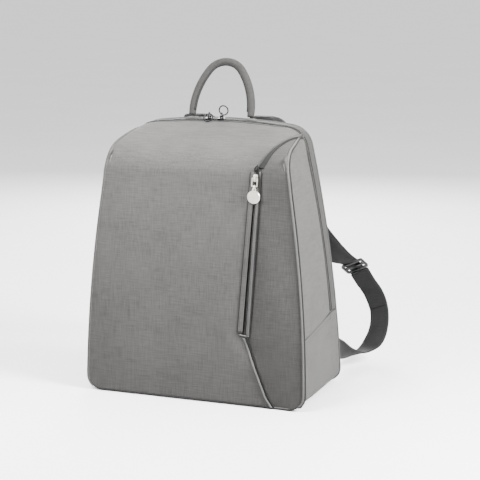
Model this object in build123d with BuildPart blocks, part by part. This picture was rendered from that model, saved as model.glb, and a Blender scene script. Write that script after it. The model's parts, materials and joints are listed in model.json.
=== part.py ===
from build123d import *
import math
import os

# Backpack-style diaper bag. Millimetres, +Z up, +X to the bag's right as seen from the front.
# The front faces -Y. The origin is the middle of the base, on the surface the bag stands on.

os.makedirs("parts", exist_ok=True)

# ---------------------------------------------------------------- driving dimensions
BASE_HALF = 148.0           # half width at the base
MIDDLE_HALF = 140.2         # half width at MIDDLE_HEIGHT
MIDDLE_HEIGHT = 157.0
BASE_CORNER = 20.0          # rounding of the lower corners in the front view
FRONT_RISE = 0.6            # the front's cloth curls under just above the floor

FRONT_Y = -79.0             # front face at the floor
FRONT_LEAN = 0.0319         # the front leans back this much for each millimetre of height
SHOULDER_HALF = 118.0       # half width at the shoulder line, where the front turns into the roof
SHOULDER_HEIGHT = 313.5
SHOULDER_CORNER = 10.0

BACK_Y = 79.0               # back face at the floor
BACK_LEAN = -0.13           # the back leans forward
GUSSET_WIDTH = 22.0         # from the zip line to the back face
CROWN_HALF = 114.5          # half width where side and crown arch would meet
CROWN_CORNER_HEIGHT = 342.5
CROWN_HEIGHT = 351.0
CROWN_CORNER = 29.0

CLOTH = 2.4                 # outer cloth with its foam backing
POCKET_CLOTH = 1.2          # outer layer of the side slip pockets
LINING = 0.8
BACK_SKIN = 1.6
BACK_FOAM = 5.0
BOARD = 2.0
GAP = 0.2                   # half of the clearance along the fold line

FOLD_HEIGHT = 88.0          # where the opening front folds, at the front face
FOLD_SLOPE = 0.12           # the fold rises towards the back along the side pocket edges

ZIP_TAPE = 3.1              # visible width of one tape
ZIP_COIL = 0.75             # width of one coil half
ZIP_GAP = 0.15              # half of the clearance between the coil halves
ZIP_HALF = ZIP_GAP + ZIP_COIL + ZIP_TAPE

POCKET_ZIP_BOTTOM = (69.0, 91.5)    # x, z of the pocket zip's ends
POCKET_ZIP_TOP = (81.5, 297.0)
POCKET_SLOT = 10.0          # width of the slot that holds the pocket zip
POCKET_SEAM = [(103.0, 360.0), (88.7, 311.0), (82.0, 300.0), (68.5, 88.0), (99.0, 13.0), (108.8, -1.0)]

SLIDER_LIFT = 0.7           # underside of a main slider above the crown
MAIN_SLIDERS = {"left": -13.0, "right": 4.0}    # x of the main zip sliders

HANDLE_RADIUS = 5.0
HANDLE_HALF = 40.5          # half spacing of the handle's legs, centre to centre
HANDLE_Y = 20.5
HANDLE_PATCH = 3.0          # thickness of the sewn patches under the handle
HANDLE_LEG = 2.0            # straight length at each foot
HANDLE_RISE = 66.0          # from the top of the legs to the handle's highest point
HANDLE_TOP_RADIUS = 28.0
HANDLE_LEAN = 16.0          # degrees back from upright

WEB_WIDTH = 26.0
WEB_THICK = 1.8
PAD_WIDTH = 42.0

SHOULDER_SINK = 0.64        # share of an inset by which the front's top edge sinks
CROWN_SINK = 1.1            # and the crown, which slopes
SEAM_SHOULDER = 2.2         # the corner seams start this far inside the shoulder corner
SEAM_CROWN = 5.0            # and end this far inside the crown corner
CLEAR = 0.05                # between layers that only touch
BOARD_CORNER = 8.0
ELASTIC_THICK = 3.2
POUCH_CORNER = 12.0
SLIDER_CORNER = 2.0
SLIDER_FROM_END = 7.5       # middle of the closed pocket slider below the zip's upper end
EYE_RISE = 1.7              # a slider's eye above its body
PATCH_CLEAR = 0.3           # between the handle's ends and its patches
PATCH_REACH = 20.0          # height of the block that cuts the patches out
ANCHOR_ROUND = 2.5
BUCKLE_CORNER = 3.0
BUCKLE_CLEAR = 2.2          # from the buckle's frame to the strap and the webbing
TAB_ROOT_WIDTH = 44.0
TAB_ROOT_THICK = 3.0
TAB_TIP_WIDTH = 28.0
TAB_TIP_THICK = 2.4

# Slot of the pocket zip
SLOT_END = 2.0              # how far the slot runs past each end of the pocket zip

# Base board and organiser pocket
BOARD_MARGIN = 3.0          # the base board stops this far inside the lining
ORGANISER_WIDTH = 190.0
ORGANISER_LOW = 60.0
ORGANISER_HIGH = 205.0
ORGANISER_THICK = 2.2
ELASTIC_HEIGHT = 12.0

# Main zip
TAPE_SINK = 0.4             # the tape lies this far under the cloth's outer face
TAPE_THICK = 1.0
COIL_PROUD = 0.3
COIL_THICK = 1.9
TAB_THICK = 1.2
TAB_HALF = 7.0
TAB_HEIGHT = 10.0

# Piping round the front
PIPING_OUT = 1.0            # beyond the front face's edge
PIPING_IN = 1.4             # inside the edge
PIPING_THICK = 1.2
PIPING_TOP = 300.0
PIPING_GAP = 0.6            # above the fold, because the piping stands in front of the hinge

# Pocket zip in the front
TAPE_DEPTH = 1.4            # outer face of the pocket zip's tapes below the cloth's face
POCKET_COIL_HALF = 0.9
COIL_TOP = 1.2              # outer face of the coil below the cloth's face
WELT_IN = 4.2               # inner edge of the welt from the zip's middle
WELT_OUT = 7.4
WELT_PROUD = 1.3
WELT_FOOT = 2.0             # how far the welt runs below the zip's lower end
WELT_TOP = 1.0              # and above its upper end
WELT_BAR = 1.8              # width of the welt across the zip's ends
STOP = 2.5                  # length of a stop at each end of the pocket zip
STOP_TOP = -0.4             # outer face of a stop, from the cloth's face
POUCH_LEFT = -25.0
POUCH_RIGHT = 100.0
POUCH_LOW = 100.0
POUCH_HIGH = 285.0
POUCH_THICK = 1.6

# Pocket slider
SLIDER_HALF = 3.3
SLIDER_LENGTH = 9.0
SLIDER_LOW = -0.9           # underside of the pocket slider, from the cloth's face
SLIDER_HIGH = 1.6
POCKET_BRIDGE = 7.2         # length of the pocket slider's bridge
PIN_RADIUS = 0.6            # half thickness of the link's bars
EYE_RADIUS = 1.1

# Pocket pull
LINK_HALF = 3.4             # the link's arms stand this far from its middle
LINK_LENGTH = 10.0
LINK_CORNER = 1.2
RING_MAJOR = 2.8
RING_MINOR = 0.5
RING_BELOW = 1.4            # the ring's middle below the link's foot
DISC_RADIUS = 8.25
DISC_THICK = 2.0
LUG_RADIUS = 2.6
LUG_HOLE = 1.3
LUG_THICK = 1.0
DISC_BELOW = 9.3            # the disc's middle below its hole

# Main zip sliders and pulls
MAIN_LENGTH = 10.0
MAIN_WIDTH = 7.4
MAIN_THICK = 1.6
BRIDGE_LENGTH = 4.4
BRIDGE_WIDTH = 2.4
BRIDGE_RISE = 3.4
BRIDGE_EYE = 1.2
JUMP_MAJOR = 2.6
JUMP_MINOR = 0.55
LOOP_MAJOR = 6.0
LOOP_MINOR = 0.85
LOOP_LINK = 3.3             # the pull's lowest wire above the slider's eye
PULL_FLOP = {"left": -132.0, "right": 0.0}      # degrees that a pull has dropped, back positive
PULL_TILT = {"left": 0.0, "right": 30.0}        # degrees that a pull leans along the zip

# Handle patches
PATCH_HALF_X = 8.0
PATCH_HALF_Y = 4.5

# Shoulder straps
ANCHOR_X = 46.0
ANCHOR_LOW = 322.0
ANCHOR_HIGH = 342.0
ANCHOR_THICK = 7.0
BUCKLE_CENTRE = Vector(143, 155, 142)
BUCKLE_PATH = Vector(19, 40, -33).normalized()
BUCKLE_ACROSS = Vector(0.93, 0.36, 0.0)
BUCKLE_LENGTH = 20.0
BUCKLE_WIDTH = 33.0
BUCKLE_THICK = 3.0
BUCKLE_WINDOW = 5.5
BUCKLE_BAR = 3.0
TAIL_STEPS = 4              # the loose end follows this many of the webbing's sections
TAIL_CLEAR = 3.0            # behind the webbing, middle to middle
TAB_BASE = Vector(141.5, 73.9, 43)
TAB_TIP = Vector(138, 85.5, 43)

ZIP_Y = BACK_Y - GUSSET_WIDTH
FAR = 600.0                 # larger than the bag, for cutting tools
SIDES = {"left": -1, "right": 1}


# ---------------------------------------------------------------- shared shapes
def lean_plane(y_at_floor, lean):
    """Plane through (0, y_at_floor, 0) that leans with height, its normal to the front."""
    length = math.hypot(1, lean)
    return Plane(origin=(0, y_at_floor, 0), x_dir=(1, 0, 0), z_dir=(0, -1 / length, lean / length))


def front_plane(inset=0.0):
    return lean_plane(FRONT_Y + inset, FRONT_LEAN)


def zip_plane(back=0.0):
    return lean_plane(ZIP_Y + back, BACK_LEAN)


def back_plane(inset=0.0):
    return lean_plane(BACK_Y - inset, BACK_LEAN)


def front_outline(inset, depth=None):
    """Front face's outline, shrunk by inset, at the given depth behind the front face."""
    stretch = math.hypot(1, FRONT_LEAN)
    # The top edge sinks less than the inset, because the face itself moves back under the roof.
    top = (SHOULDER_HEIGHT - SHOULDER_SINK * inset) * stretch
    low = inset * stretch
    middle = MIDDLE_HEIGHT * stretch
    with BuildSketch(front_plane(inset if depth is None else depth)) as outline:
        with BuildLine():
            Line((inset - BASE_HALF, low), (BASE_HALF - inset, low))
            ThreePointArc(
                (BASE_HALF - inset, low), (MIDDLE_HALF - inset, middle), (SHOULDER_HALF - inset, top)
            )
            Line((SHOULDER_HALF - inset, top), (inset - SHOULDER_HALF, top))
            ThreePointArc(
                (inset - SHOULDER_HALF, top), (inset - MIDDLE_HALF, middle), (inset - BASE_HALF, low)
            )
        make_face()
        fillet(outline.vertices().group_by(Axis.Y)[0], BASE_CORNER - inset)
        fillet(outline.vertices().group_by(Axis.Y)[-1], SHOULDER_CORNER - inset)
    return outline.sketch


def back_outline(inset, back=0.0):
    """Outline of the bag at the zip, shrunk by inset, on a plane moved back from the zip."""
    stretch = math.hypot(1, BACK_LEAN)
    low = inset * stretch
    middle = MIDDLE_HEIGHT * stretch
    side = (CROWN_CORNER_HEIGHT - CROWN_SINK * inset) * stretch
    top = (CROWN_HEIGHT - CROWN_SINK * inset) * stretch
    with BuildSketch(zip_plane(back)) as outline:
        with BuildLine():
            Line((inset - BASE_HALF, low), (BASE_HALF - inset, low))
            ThreePointArc(
                (BASE_HALF - inset, low), (MIDDLE_HALF - inset, middle), (CROWN_HALF - inset, side)
            )
            ThreePointArc((CROWN_HALF - inset, side), (0, top), (inset - CROWN_HALF, side))
            ThreePointArc(
                (inset - CROWN_HALF, side), (inset - MIDDLE_HALF, middle), (inset - BASE_HALF, low)
            )
        make_face()
        fillet(outline.vertices().group_by(Axis.Y)[0], BASE_CORNER - inset)
        fillet(outline.vertices().group_by(Axis.Y)[-1], CROWN_CORNER - inset)
    return outline.sketch


def bag_volume(inset, back_inset=0.0):
    """The whole bag's outer shape, shrunk all round."""
    with BuildPart() as volume:
        loft(sections=[front_outline(inset), back_outline(inset)], ruled=True)
        extrude(back_outline(inset), amount=GUSSET_WIDTH - back_inset, dir=(0, 1, 0))
    return volume.part


def shell(outside, inside):
    """Everything between two insets of the bag's shape, open at the back."""
    with BuildPart() as wall:
        add(bag_volume(outside))
        add(bag_volume(inside), mode=Mode.SUBTRACT)
    return wall.part


def band(outside, inside, start, end):
    """Closed ring round the bag behind the zip, from start to end millimetres behind it."""
    with BuildPart() as ring:
        extrude(back_outline(outside, start), amount=end - start, dir=(0, 1, 0))
        extrude(back_outline(inside, start), amount=end - start, dir=(0, 1, 0), mode=Mode.SUBTRACT)
    return ring.part


def fold_plane(lift=0.0):
    """Plane of the fold line, its normal up. It holds the hinge of the opening front."""
    length = math.hypot(1, FOLD_SLOPE)
    normal = (0, -FOLD_SLOPE / length, 1 / length)
    hinge_y = FRONT_Y + FRONT_LEAN * FOLD_HEIGHT
    return Plane(origin=(0, hinge_y, FOLD_HEIGHT), x_dir=(1, 0, 0), z_dir=normal).offset(lift)


def corner_plane(side):
    """Plane of the seam from the shoulder corner to the zip; side is 1 right, -1 left. Roof on top."""
    shoulder_z = SHOULDER_HEIGHT - SEAM_SHOULDER
    shoulder = Vector(side * (SHOULDER_HALF - SEAM_SHOULDER), front_y(SHOULDER_HEIGHT), shoulder_z)
    crown_z = CROWN_CORNER_HEIGHT - SEAM_CROWN
    crown = Vector(side * (CROWN_HALF - SEAM_CROWN), ZIP_Y + BACK_LEAN * crown_z, crown_z)
    along = crown - shoulder
    normal = along.cross(Vector(-side, 0, -1)) * side
    return Plane(origin=shoulder, x_dir=along, z_dir=normal)


def above(plane):
    split(bisect_by=plane, keep=Keep.TOP)


def below(plane):
    split(bisect_by=plane, keep=Keep.BOTTOM)


def keep_side(side):
    split(bisect_by=Plane.YZ, keep=Keep.TOP if side > 0 else Keep.BOTTOM)


def save(part, label):
    part.label = label
    export_step(part, f"parts/{label}.step")


def front_y(z):
    return FRONT_Y + FRONT_LEAN * z


# The pocket seam as a cutter: everything to its right, through the front.
with BuildPart() as pocket_region:
    with BuildSketch(Plane.XZ):
        with BuildLine():
            Polyline(*POCKET_SEAM, (FAR / 2, POCKET_SEAM[-1][1]), (FAR / 2, POCKET_SEAM[0][1]), close=True)
        make_face()
    extrude(amount=FAR / 2, both=True)

# Frame of the pocket zip: origin at its lower end on the front face, Y up along it, Z outwards.
zip_low = Vector(POCKET_ZIP_BOTTOM[0], front_y(POCKET_ZIP_BOTTOM[1]), POCKET_ZIP_BOTTOM[1])
zip_high = Vector(POCKET_ZIP_TOP[0], front_y(POCKET_ZIP_TOP[1]), POCKET_ZIP_TOP[1])
pocket_along = (zip_high - zip_low).normalized()
pocket_length = (zip_high - zip_low).length
pocket_normal = front_plane().z_dir
pocket_plane = Plane(origin=zip_low, x_dir=pocket_along.cross(pocket_normal), z_dir=pocket_normal)

with BuildPart() as pocket_slot:
    with BuildSketch(pocket_plane):
        with Locations((0, pocket_length / 2)):
            Rectangle(POCKET_SLOT, pocket_length + 2 * SLOT_END)
    extrude(amount=2 * CLOTH, both=True)

# ---------------------------------------------------------------- outer cloth
cloth = shell(0, CLOTH)
pocket_layer = shell(0, POCKET_CLOTH)
wall_layer = shell(POCKET_CLOTH, CLOTH)
lining_layer = shell(CLOTH, CLOTH + LINING)
zip_front = zip_plane(-ZIP_HALF)

def front_face_cloth():
    with BuildPart() as face:
        add(cloth)
        above(front_plane(CLOTH))
    return face.part


def roof_cloth():
    with BuildPart() as roof:
        add(cloth)
        below(front_plane(CLOTH))
        above(zip_front)
        above(corner_plane(1))
        above(corner_plane(-1))
    return roof.part


front_face = front_face_cloth()
roof = roof_cloth()

with BuildPart() as front_main_panel:
    add(front_face)
    above(fold_plane(GAP))
    add(roof)
    add(pocket_region.part, mode=Mode.SUBTRACT)
    add(pocket_slot.part, mode=Mode.SUBTRACT)
save(front_main_panel.part, "front_main_panel")

with BuildPart() as front_pocket_panel:
    add(front_face)
    above(fold_plane(GAP))
    add(roof)
    add(pocket_region.part, mode=Mode.INTERSECT)
    add(pocket_slot.part, mode=Mode.SUBTRACT)
save(front_pocket_panel.part, "front_pocket_panel")

with BuildPart() as lower_main_panel:
    add(front_face)
    below(fold_plane(-GAP))
    above(Plane.XY.offset(FRONT_RISE))
    add(pocket_region.part, mode=Mode.SUBTRACT)
save(lower_main_panel.part, "lower_main_panel")

with BuildPart() as lower_pocket_panel:
    add(front_face)
    below(fold_plane(-GAP))
    above(Plane.XY.offset(FRONT_RISE))
    add(pocket_region.part, mode=Mode.INTERSECT)
save(lower_pocket_panel.part, "lower_pocket_panel")

for name, side in SIDES.items():
    with BuildPart() as side_panel:
        add(cloth)
        keep_side(side)
        below(front_plane(CLOTH))
        above(zip_front)
        above(fold_plane(GAP))
        below(corner_plane(side))
    save(side_panel.part, f"side_panel_{name}")

    with BuildPart() as side_pocket:
        add(pocket_layer)
        keep_side(side)
        below(front_plane(CLOTH))
        above(back_plane(BACK_SKIN))
        below(fold_plane(-GAP))
        above(Plane.XY.offset(CLOTH))
    save(side_pocket.part, f"side_pocket_{name}")

    with BuildPart() as lower_side:
        add(wall_layer)
        keep_side(side)
        below(front_plane(CLOTH))
        above(back_plane(BACK_SKIN))
        below(fold_plane(-GAP))
        above(Plane.XY.offset(CLOTH))
    save(lower_side.part, f"lower_side_{name}")

with BuildPart() as base_panel:
    add(cloth)
    below(front_plane(CLOTH))
    above(back_plane(BACK_SKIN))
    below(Plane.XY.offset(CLOTH))
save(base_panel.part, "base_panel")

# ---------------------------------------------------------------- back and rim
back_stack = BACK_SKIN + BACK_FOAM + LINING
with BuildPart() as back_panel:
    extrude(back_outline(0, GUSSET_WIDTH - BACK_SKIN), amount=BACK_SKIN, dir=(0, 1, 0))
save(back_panel.part, "back_panel")

with BuildPart() as back_foam:
    foam_start = GUSSET_WIDTH - BACK_SKIN - BACK_FOAM
    extrude(back_outline(CLOTH, foam_start), amount=BACK_FOAM, dir=(0, 1, 0))
save(back_foam.part, "back_foam")

with BuildPart() as back_lining:
    extrude(back_outline(CLOTH, GUSSET_WIDTH - back_stack), amount=LINING, dir=(0, 1, 0))
save(back_lining.part, "back_lining")

with BuildPart() as rear_gusset:
    add(band(0, CLOTH, ZIP_HALF, GUSSET_WIDTH - BACK_SKIN))
    above(fold_plane(GAP))
save(rear_gusset.part, "rear_gusset")

with BuildPart() as gusset_lining:
    add(band(CLOTH, CLOTH + LINING, ZIP_HALF, GUSSET_WIDTH - back_stack))
    above(fold_plane(GAP))
save(gusset_lining.part, "gusset_lining")

with BuildPart() as lower_lining:
    add(lining_layer)
    above(back_plane(back_stack))
    below(fold_plane(-GAP))
save(lower_lining.part, "lower_lining")

with BuildPart() as front_lining:
    add(lining_layer)
    above(zip_front)
    above(fold_plane(GAP))
save(front_lining.part, "front_lining")

with BuildPart() as base_board:
    with BuildSketch(Plane.XY.offset(CLOTH + LINING + CLEAR)):
        front_edge = FRONT_Y + CLOTH + LINING + BOARD_MARGIN
        back_edge = BACK_Y - back_stack - BOARD_MARGIN
        with Locations((0, (front_edge + back_edge) / 2)):
            RectangleRounded(2 * (BASE_HALF - BASE_CORNER), back_edge - front_edge, BOARD_CORNER)
    extrude(amount=BOARD)
save(base_board.part, "base_board")

with BuildPart() as organiser_pocket:
    with BuildSketch(back_plane(back_stack)):
        with Locations((0, (ORGANISER_LOW + ORGANISER_HIGH) / 2)):
            Rectangle(ORGANISER_WIDTH, ORGANISER_HIGH - ORGANISER_LOW)
    extrude(amount=ORGANISER_THICK)
save(organiser_pocket.part, "organiser_pocket")

with BuildPart() as organiser_elastic:
    with BuildSketch(back_plane(back_stack)):
        with Locations((0, ORGANISER_HIGH + ELASTIC_HEIGHT / 2)):
            Rectangle(ORGANISER_WIDTH, ELASTIC_HEIGHT)
    extrude(amount=ELASTIC_THICK)
save(organiser_elastic.part, "organiser_elastic")

# ---------------------------------------------------------------- main zip

with BuildPart() as main_zip_tape_rear:
    add(band(TAPE_SINK, TAPE_SINK + TAPE_THICK, ZIP_GAP + ZIP_COIL, ZIP_HALF))
    above(fold_plane(GAP))
save(main_zip_tape_rear.part, "main_zip_tape_rear")

with BuildPart() as main_zip_coil_rear:
    add(band(-COIL_PROUD, COIL_THICK - COIL_PROUD, ZIP_GAP, ZIP_GAP + ZIP_COIL))
    above(fold_plane(GAP))
save(main_zip_coil_rear.part, "main_zip_coil_rear")

with BuildPart() as main_zip_tape_front:
    add(shell(TAPE_SINK, TAPE_SINK + TAPE_THICK))
    below(zip_front)
    above(zip_plane(-ZIP_GAP - ZIP_COIL))
    above(fold_plane(GAP))
save(main_zip_tape_front.part, "main_zip_tape_front")

with BuildPart() as main_zip_coil_front:
    add(shell(-COIL_PROUD, COIL_THICK - COIL_PROUD))
    below(zip_plane(-ZIP_GAP - ZIP_COIL))
    above(zip_plane(-ZIP_GAP))
    above(fold_plane(GAP))
save(main_zip_coil_front.part, "main_zip_coil_front")

zip_foot_z = FOLD_HEIGHT + FOLD_SLOPE * (ZIP_Y + BACK_LEAN * FOLD_HEIGHT - front_y(FOLD_HEIGHT))
zip_foot_y = ZIP_Y + BACK_LEAN * zip_foot_z
with BuildPart() as zip_end_tabs:
    add(shell(-TAB_THICK, 0))
    above(zip_plane(TAB_HALF))
    below(zip_plane(-TAB_HALF))
    below(fold_plane(-GAP))
    above(Plane.XY.offset(zip_foot_z - TAB_HEIGHT))
save(zip_end_tabs.part, "zip_end_tabs")

# ---------------------------------------------------------------- piping round the front


def piping_ring():
    with BuildPart() as ring:
        extrude(front_outline(-PIPING_OUT, 0), amount=PIPING_THICK)
        extrude(front_outline(PIPING_IN, 0), amount=PIPING_THICK, mode=Mode.SUBTRACT)
    return ring.part


piping = piping_ring()
for name, side in SIDES.items():
    with BuildPart() as front_piping:
        add(piping)
        keep_side(side)
        above(fold_plane(PIPING_GAP))
        below(Plane.XY.offset(PIPING_TOP))
    save(front_piping.part, f"front_piping_{name}")

with BuildPart() as bottom_piping:
    add(piping)
    below(fold_plane(-GAP))
    above(Plane.XY)
save(bottom_piping.part, "bottom_piping")

# ---------------------------------------------------------------- pocket zip in the front
SLOT_FLOOR = CLEAR - CLOTH  # just clear of the lining behind the slot


def zip_box(x_low, x_high, y_low, y_high, z_low, z_high):
    """A block in the pocket zip's frame: across, along and out from the front face."""
    with BuildPart() as block:
        with BuildSketch(pocket_plane.offset(z_low)):
            with Locations(((x_low + x_high) / 2, (y_low + y_high) / 2)):
                Rectangle(x_high - x_low, y_high - y_low)
        extrude(amount=z_high - z_low)
    return block.part


for name, side in SIDES.items():
    inner = side * POCKET_COIL_HALF
    outer = side * POCKET_SLOT / 2
    tape = zip_box(min(inner, outer), max(inner, outer), 0, pocket_length, SLOT_FLOOR, -TAPE_DEPTH)
    save(tape, f"pocket_zip_tape_{name}")

coil_ends = (STOP, pocket_length - STOP)
coil = zip_box(-POCKET_COIL_HALF, POCKET_COIL_HALF, *coil_ends, SLOT_FLOOR, -COIL_TOP)
save(coil, "pocket_zip_coil")

with BuildPart() as pocket_zip_stops:
    for low in (0, pocket_length - STOP):
        add(zip_box(-POCKET_COIL_HALF, POCKET_COIL_HALF, low, low + STOP, SLOT_FLOOR, STOP_TOP))
save(pocket_zip_stops.part, "pocket_zip_stops")

with BuildPart() as pocket_welt:
    with BuildSketch(pocket_plane):
        with Locations((0, (pocket_length + WELT_TOP - WELT_FOOT) / 2)):
            Rectangle(2 * WELT_OUT, pocket_length + WELT_FOOT + WELT_TOP)
            Rectangle(2 * WELT_IN, pocket_length + WELT_FOOT + WELT_TOP - 2 * WELT_BAR, mode=Mode.SUBTRACT)
    extrude(amount=WELT_PROUD)
save(pocket_welt.part, "pocket_welt")

with BuildPart() as pocket_pouch:
    with BuildSketch(front_plane(CLOTH + LINING + POUCH_THICK)):
        with Locations(((POUCH_LEFT + POUCH_RIGHT) / 2, (POUCH_LOW + POUCH_HIGH) / 2)):
            RectangleRounded(POUCH_RIGHT - POUCH_LEFT, POUCH_HIGH - POUCH_LOW, POUCH_CORNER)
    extrude(amount=POUCH_THICK - CLEAR)
save(pocket_pouch.part, "pocket_pouch")

# ---------------------------------------------------------------- pocket slider and its pull
slider_y = pocket_length - SLIDER_FROM_END      # middle of the slider along the zip
eye_out = SLIDER_HIGH + EYE_RISE    # pivot height above the front face

with BuildPart() as pocket_zip_slider:
    add(zip_box(-SLIDER_HALF, SLIDER_HALF, slider_y - SLIDER_LENGTH / 2, slider_y + SLIDER_LENGTH / 2,
                SLIDER_LOW, SLIDER_HIGH))
    fillet(pocket_zip_slider.edges().filter_by(Axis((0, 0, 0), pocket_normal)), SLIDER_CORNER)
    bridge = (slider_y - POCKET_BRIDGE / 2, slider_y + POCKET_BRIDGE / 2)
    add(zip_box(-BRIDGE_WIDTH / 2, BRIDGE_WIDTH / 2, *bridge, SLIDER_HIGH, SLIDER_HIGH + BRIDGE_RISE))
    eye_frame = Plane(origin=pocket_plane.from_local_coords((-SLIDER_HALF, slider_y, eye_out)),
                      x_dir=pocket_plane.y_dir, z_dir=pocket_plane.x_dir)
    with BuildSketch(eye_frame):
        Circle(EYE_RADIUS)
    extrude(amount=2 * SLIDER_HALF, mode=Mode.SUBTRACT)
save(pocket_zip_slider.part, "pocket_zip_slider")

# ---------------------------------------------------------------- pocket pull
link_foot = slider_y - LINK_LENGTH
ring_middle = link_foot - RING_BELOW
lug_middle = ring_middle - RING_MAJOR
disc_middle = lug_middle - DISC_BELOW


with BuildPart() as pocket_pull_link:
    with BuildSketch(pocket_plane.offset(eye_out - PIN_RADIUS)):
        with Locations((0, (slider_y + link_foot) / 2)):
            RectangleRounded(2 * (LINK_HALF + PIN_RADIUS), LINK_LENGTH + 2 * PIN_RADIUS, LINK_CORNER)
            inside = (2 * (LINK_HALF - PIN_RADIUS), LINK_LENGTH - 2 * PIN_RADIUS)
            RectangleRounded(*inside, LINK_CORNER - PIN_RADIUS, mode=Mode.SUBTRACT)
    extrude(amount=2 * PIN_RADIUS)
save(pocket_pull_link.part, "pocket_pull_link")

with BuildPart() as pocket_pull_ring:
    ring_frame = Plane(origin=pocket_plane.from_local_coords((0, ring_middle, eye_out)),
                       x_dir=pocket_plane.y_dir, z_dir=pocket_plane.x_dir)
    with BuildSketch(Plane(origin=ring_frame.origin, x_dir=ring_frame.x_dir, z_dir=ring_frame.y_dir)):
        with Locations((RING_MAJOR, 0)):
            Circle(RING_MINOR)
    revolve(axis=Axis(ring_frame.origin, ring_frame.z_dir))
save(pocket_pull_ring.part, "pocket_pull_ring")

with BuildPart() as pocket_pull_disc:
    with BuildSketch(pocket_plane.offset(eye_out - DISC_THICK / 2)):
        with Locations((0, disc_middle)):
            Circle(DISC_RADIUS)
    extrude(amount=DISC_THICK)
    chamfer(pocket_pull_disc.edges().filter_by(GeomType.CIRCLE), 0.5)
    with BuildSketch(pocket_plane.offset(eye_out - LUG_THICK / 2)):
        with Locations((0, lug_middle)):
            Circle(LUG_RADIUS)
        with Locations((0, lug_middle - LUG_RADIUS / 2)):
            Rectangle(2 * LUG_RADIUS, LUG_RADIUS)
    extrude(amount=LUG_THICK)
    with BuildSketch(pocket_plane.offset(eye_out - DISC_THICK)):
        with Locations((0, lug_middle)):
            Circle(LUG_HOLE)
    extrude(amount=2 * DISC_THICK, mode=Mode.SUBTRACT)
save(pocket_pull_disc.part, "pocket_pull_disc")

# ---------------------------------------------------------------- main zip sliders and pulls
crown_stretch = math.hypot(1, BACK_LEAN)
crown_rise = (CROWN_HEIGHT - CROWN_CORNER_HEIGHT) * crown_stretch
crown_radius = (CROWN_HALF ** 2 + crown_rise ** 2) / (2 * crown_rise)
crown_up = zip_plane().y_dir
crown_centre = zip_plane().origin + crown_up * (CROWN_HEIGHT * crown_stretch - crown_radius)

eye_height = SLIDER_LIFT + MAIN_THICK + EYE_RISE


def crown_frame(x, height=0.0):
    """Frame on the crown of the zip line: X along the zip, Z out of the bag."""
    turn = math.asin(x / crown_radius)
    outward = crown_up * math.cos(turn) + Vector(math.sin(turn), 0, 0)
    along = Vector(math.cos(turn), 0, 0) - crown_up * math.sin(turn)
    return Plane(origin=crown_centre + outward * (crown_radius + height), x_dir=along, z_dir=outward)


def torus(centre, axis, start, major, minor):
    """Ring of round wire about an axis; start is a direction from its centre."""
    with BuildPart() as ring:
        with BuildSketch(Plane(origin=centre, x_dir=start, z_dir=axis.cross(start))):
            with Locations((major, 0)):
                Circle(minor)
        revolve(axis=Axis(centre, axis))
    return ring.part


for name, x in MAIN_SLIDERS.items():
    with BuildPart() as main_slider:
        with BuildSketch(crown_frame(x, SLIDER_LIFT)):
            RectangleRounded(MAIN_LENGTH, MAIN_WIDTH, SLIDER_CORNER)
        extrude(amount=MAIN_THICK)
        with BuildSketch(crown_frame(x, SLIDER_LIFT + MAIN_THICK)):
            Rectangle(BRIDGE_LENGTH, BRIDGE_WIDTH)
        extrude(amount=BRIDGE_RISE)
        eye = crown_frame(x, eye_height)
        with BuildSketch(Plane(origin=eye.origin, x_dir=eye.x_dir, z_dir=eye.y_dir)):
            Circle(BRIDGE_EYE)
        extrude(amount=MAIN_WIDTH, both=True, mode=Mode.SUBTRACT)
    save(main_slider.part, f"main_zip_slider_{name}")

    jump_centre = crown_frame(x, eye_height + JUMP_MAJOR).origin
    jump = torus(jump_centre, eye.x_dir, eye.y_dir, JUMP_MAJOR, JUMP_MINOR)
    save(jump, f"main_zip_ring_{name}")

    link = crown_frame(x, eye_height + LOOP_LINK)
    flop = math.radians(PULL_FLOP[name])
    tilt = math.radians(PULL_TILT[name])
    dropped = link.z_dir * math.cos(flop) + link.y_dir * math.sin(flop)
    out = dropped * math.cos(tilt) + link.x_dir * math.sin(tilt)
    loop = torus(link.origin + out * LOOP_MAJOR, link.x_dir.cross(dropped), out, LOOP_MAJOR, LOOP_MINOR)
    save(loop, f"main_zip_pull_{name}")

# ---------------------------------------------------------------- carry handle
handle_foot_z = CROWN_HEIGHT - HANDLE_HALF ** 2 / (2 * crown_radius)
handle_z = handle_foot_z + CROWN_SINK * HANDLE_PATCH + PATCH_CLEAR + HANDLE_RADIUS
lean = math.radians(HANDLE_LEAN)
handle_plane = Plane(origin=(0, HANDLE_Y, handle_z), x_dir=(1, 0, 0),
                     z_dir=(0, -math.cos(lean), math.sin(lean)))
# Three-centred arch: side arcs that start upright, and a tighter arc over the top.
reach = HANDLE_HALF - HANDLE_TOP_RADIUS
rise = HANDLE_RISE - HANDLE_TOP_RADIUS
side_radius = (HANDLE_HALF ** 2 + rise ** 2 - HANDLE_TOP_RADIUS ** 2) / (2 * reach)
side_centre = HANDLE_HALF - side_radius
slope = math.atan2(rise, -side_centre)
join = (side_centre + side_radius * math.cos(slope), HANDLE_LEG + side_radius * math.sin(slope))
halfway = (side_centre + side_radius * math.cos(slope / 2), HANDLE_LEG + side_radius * math.sin(slope / 2))

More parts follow.
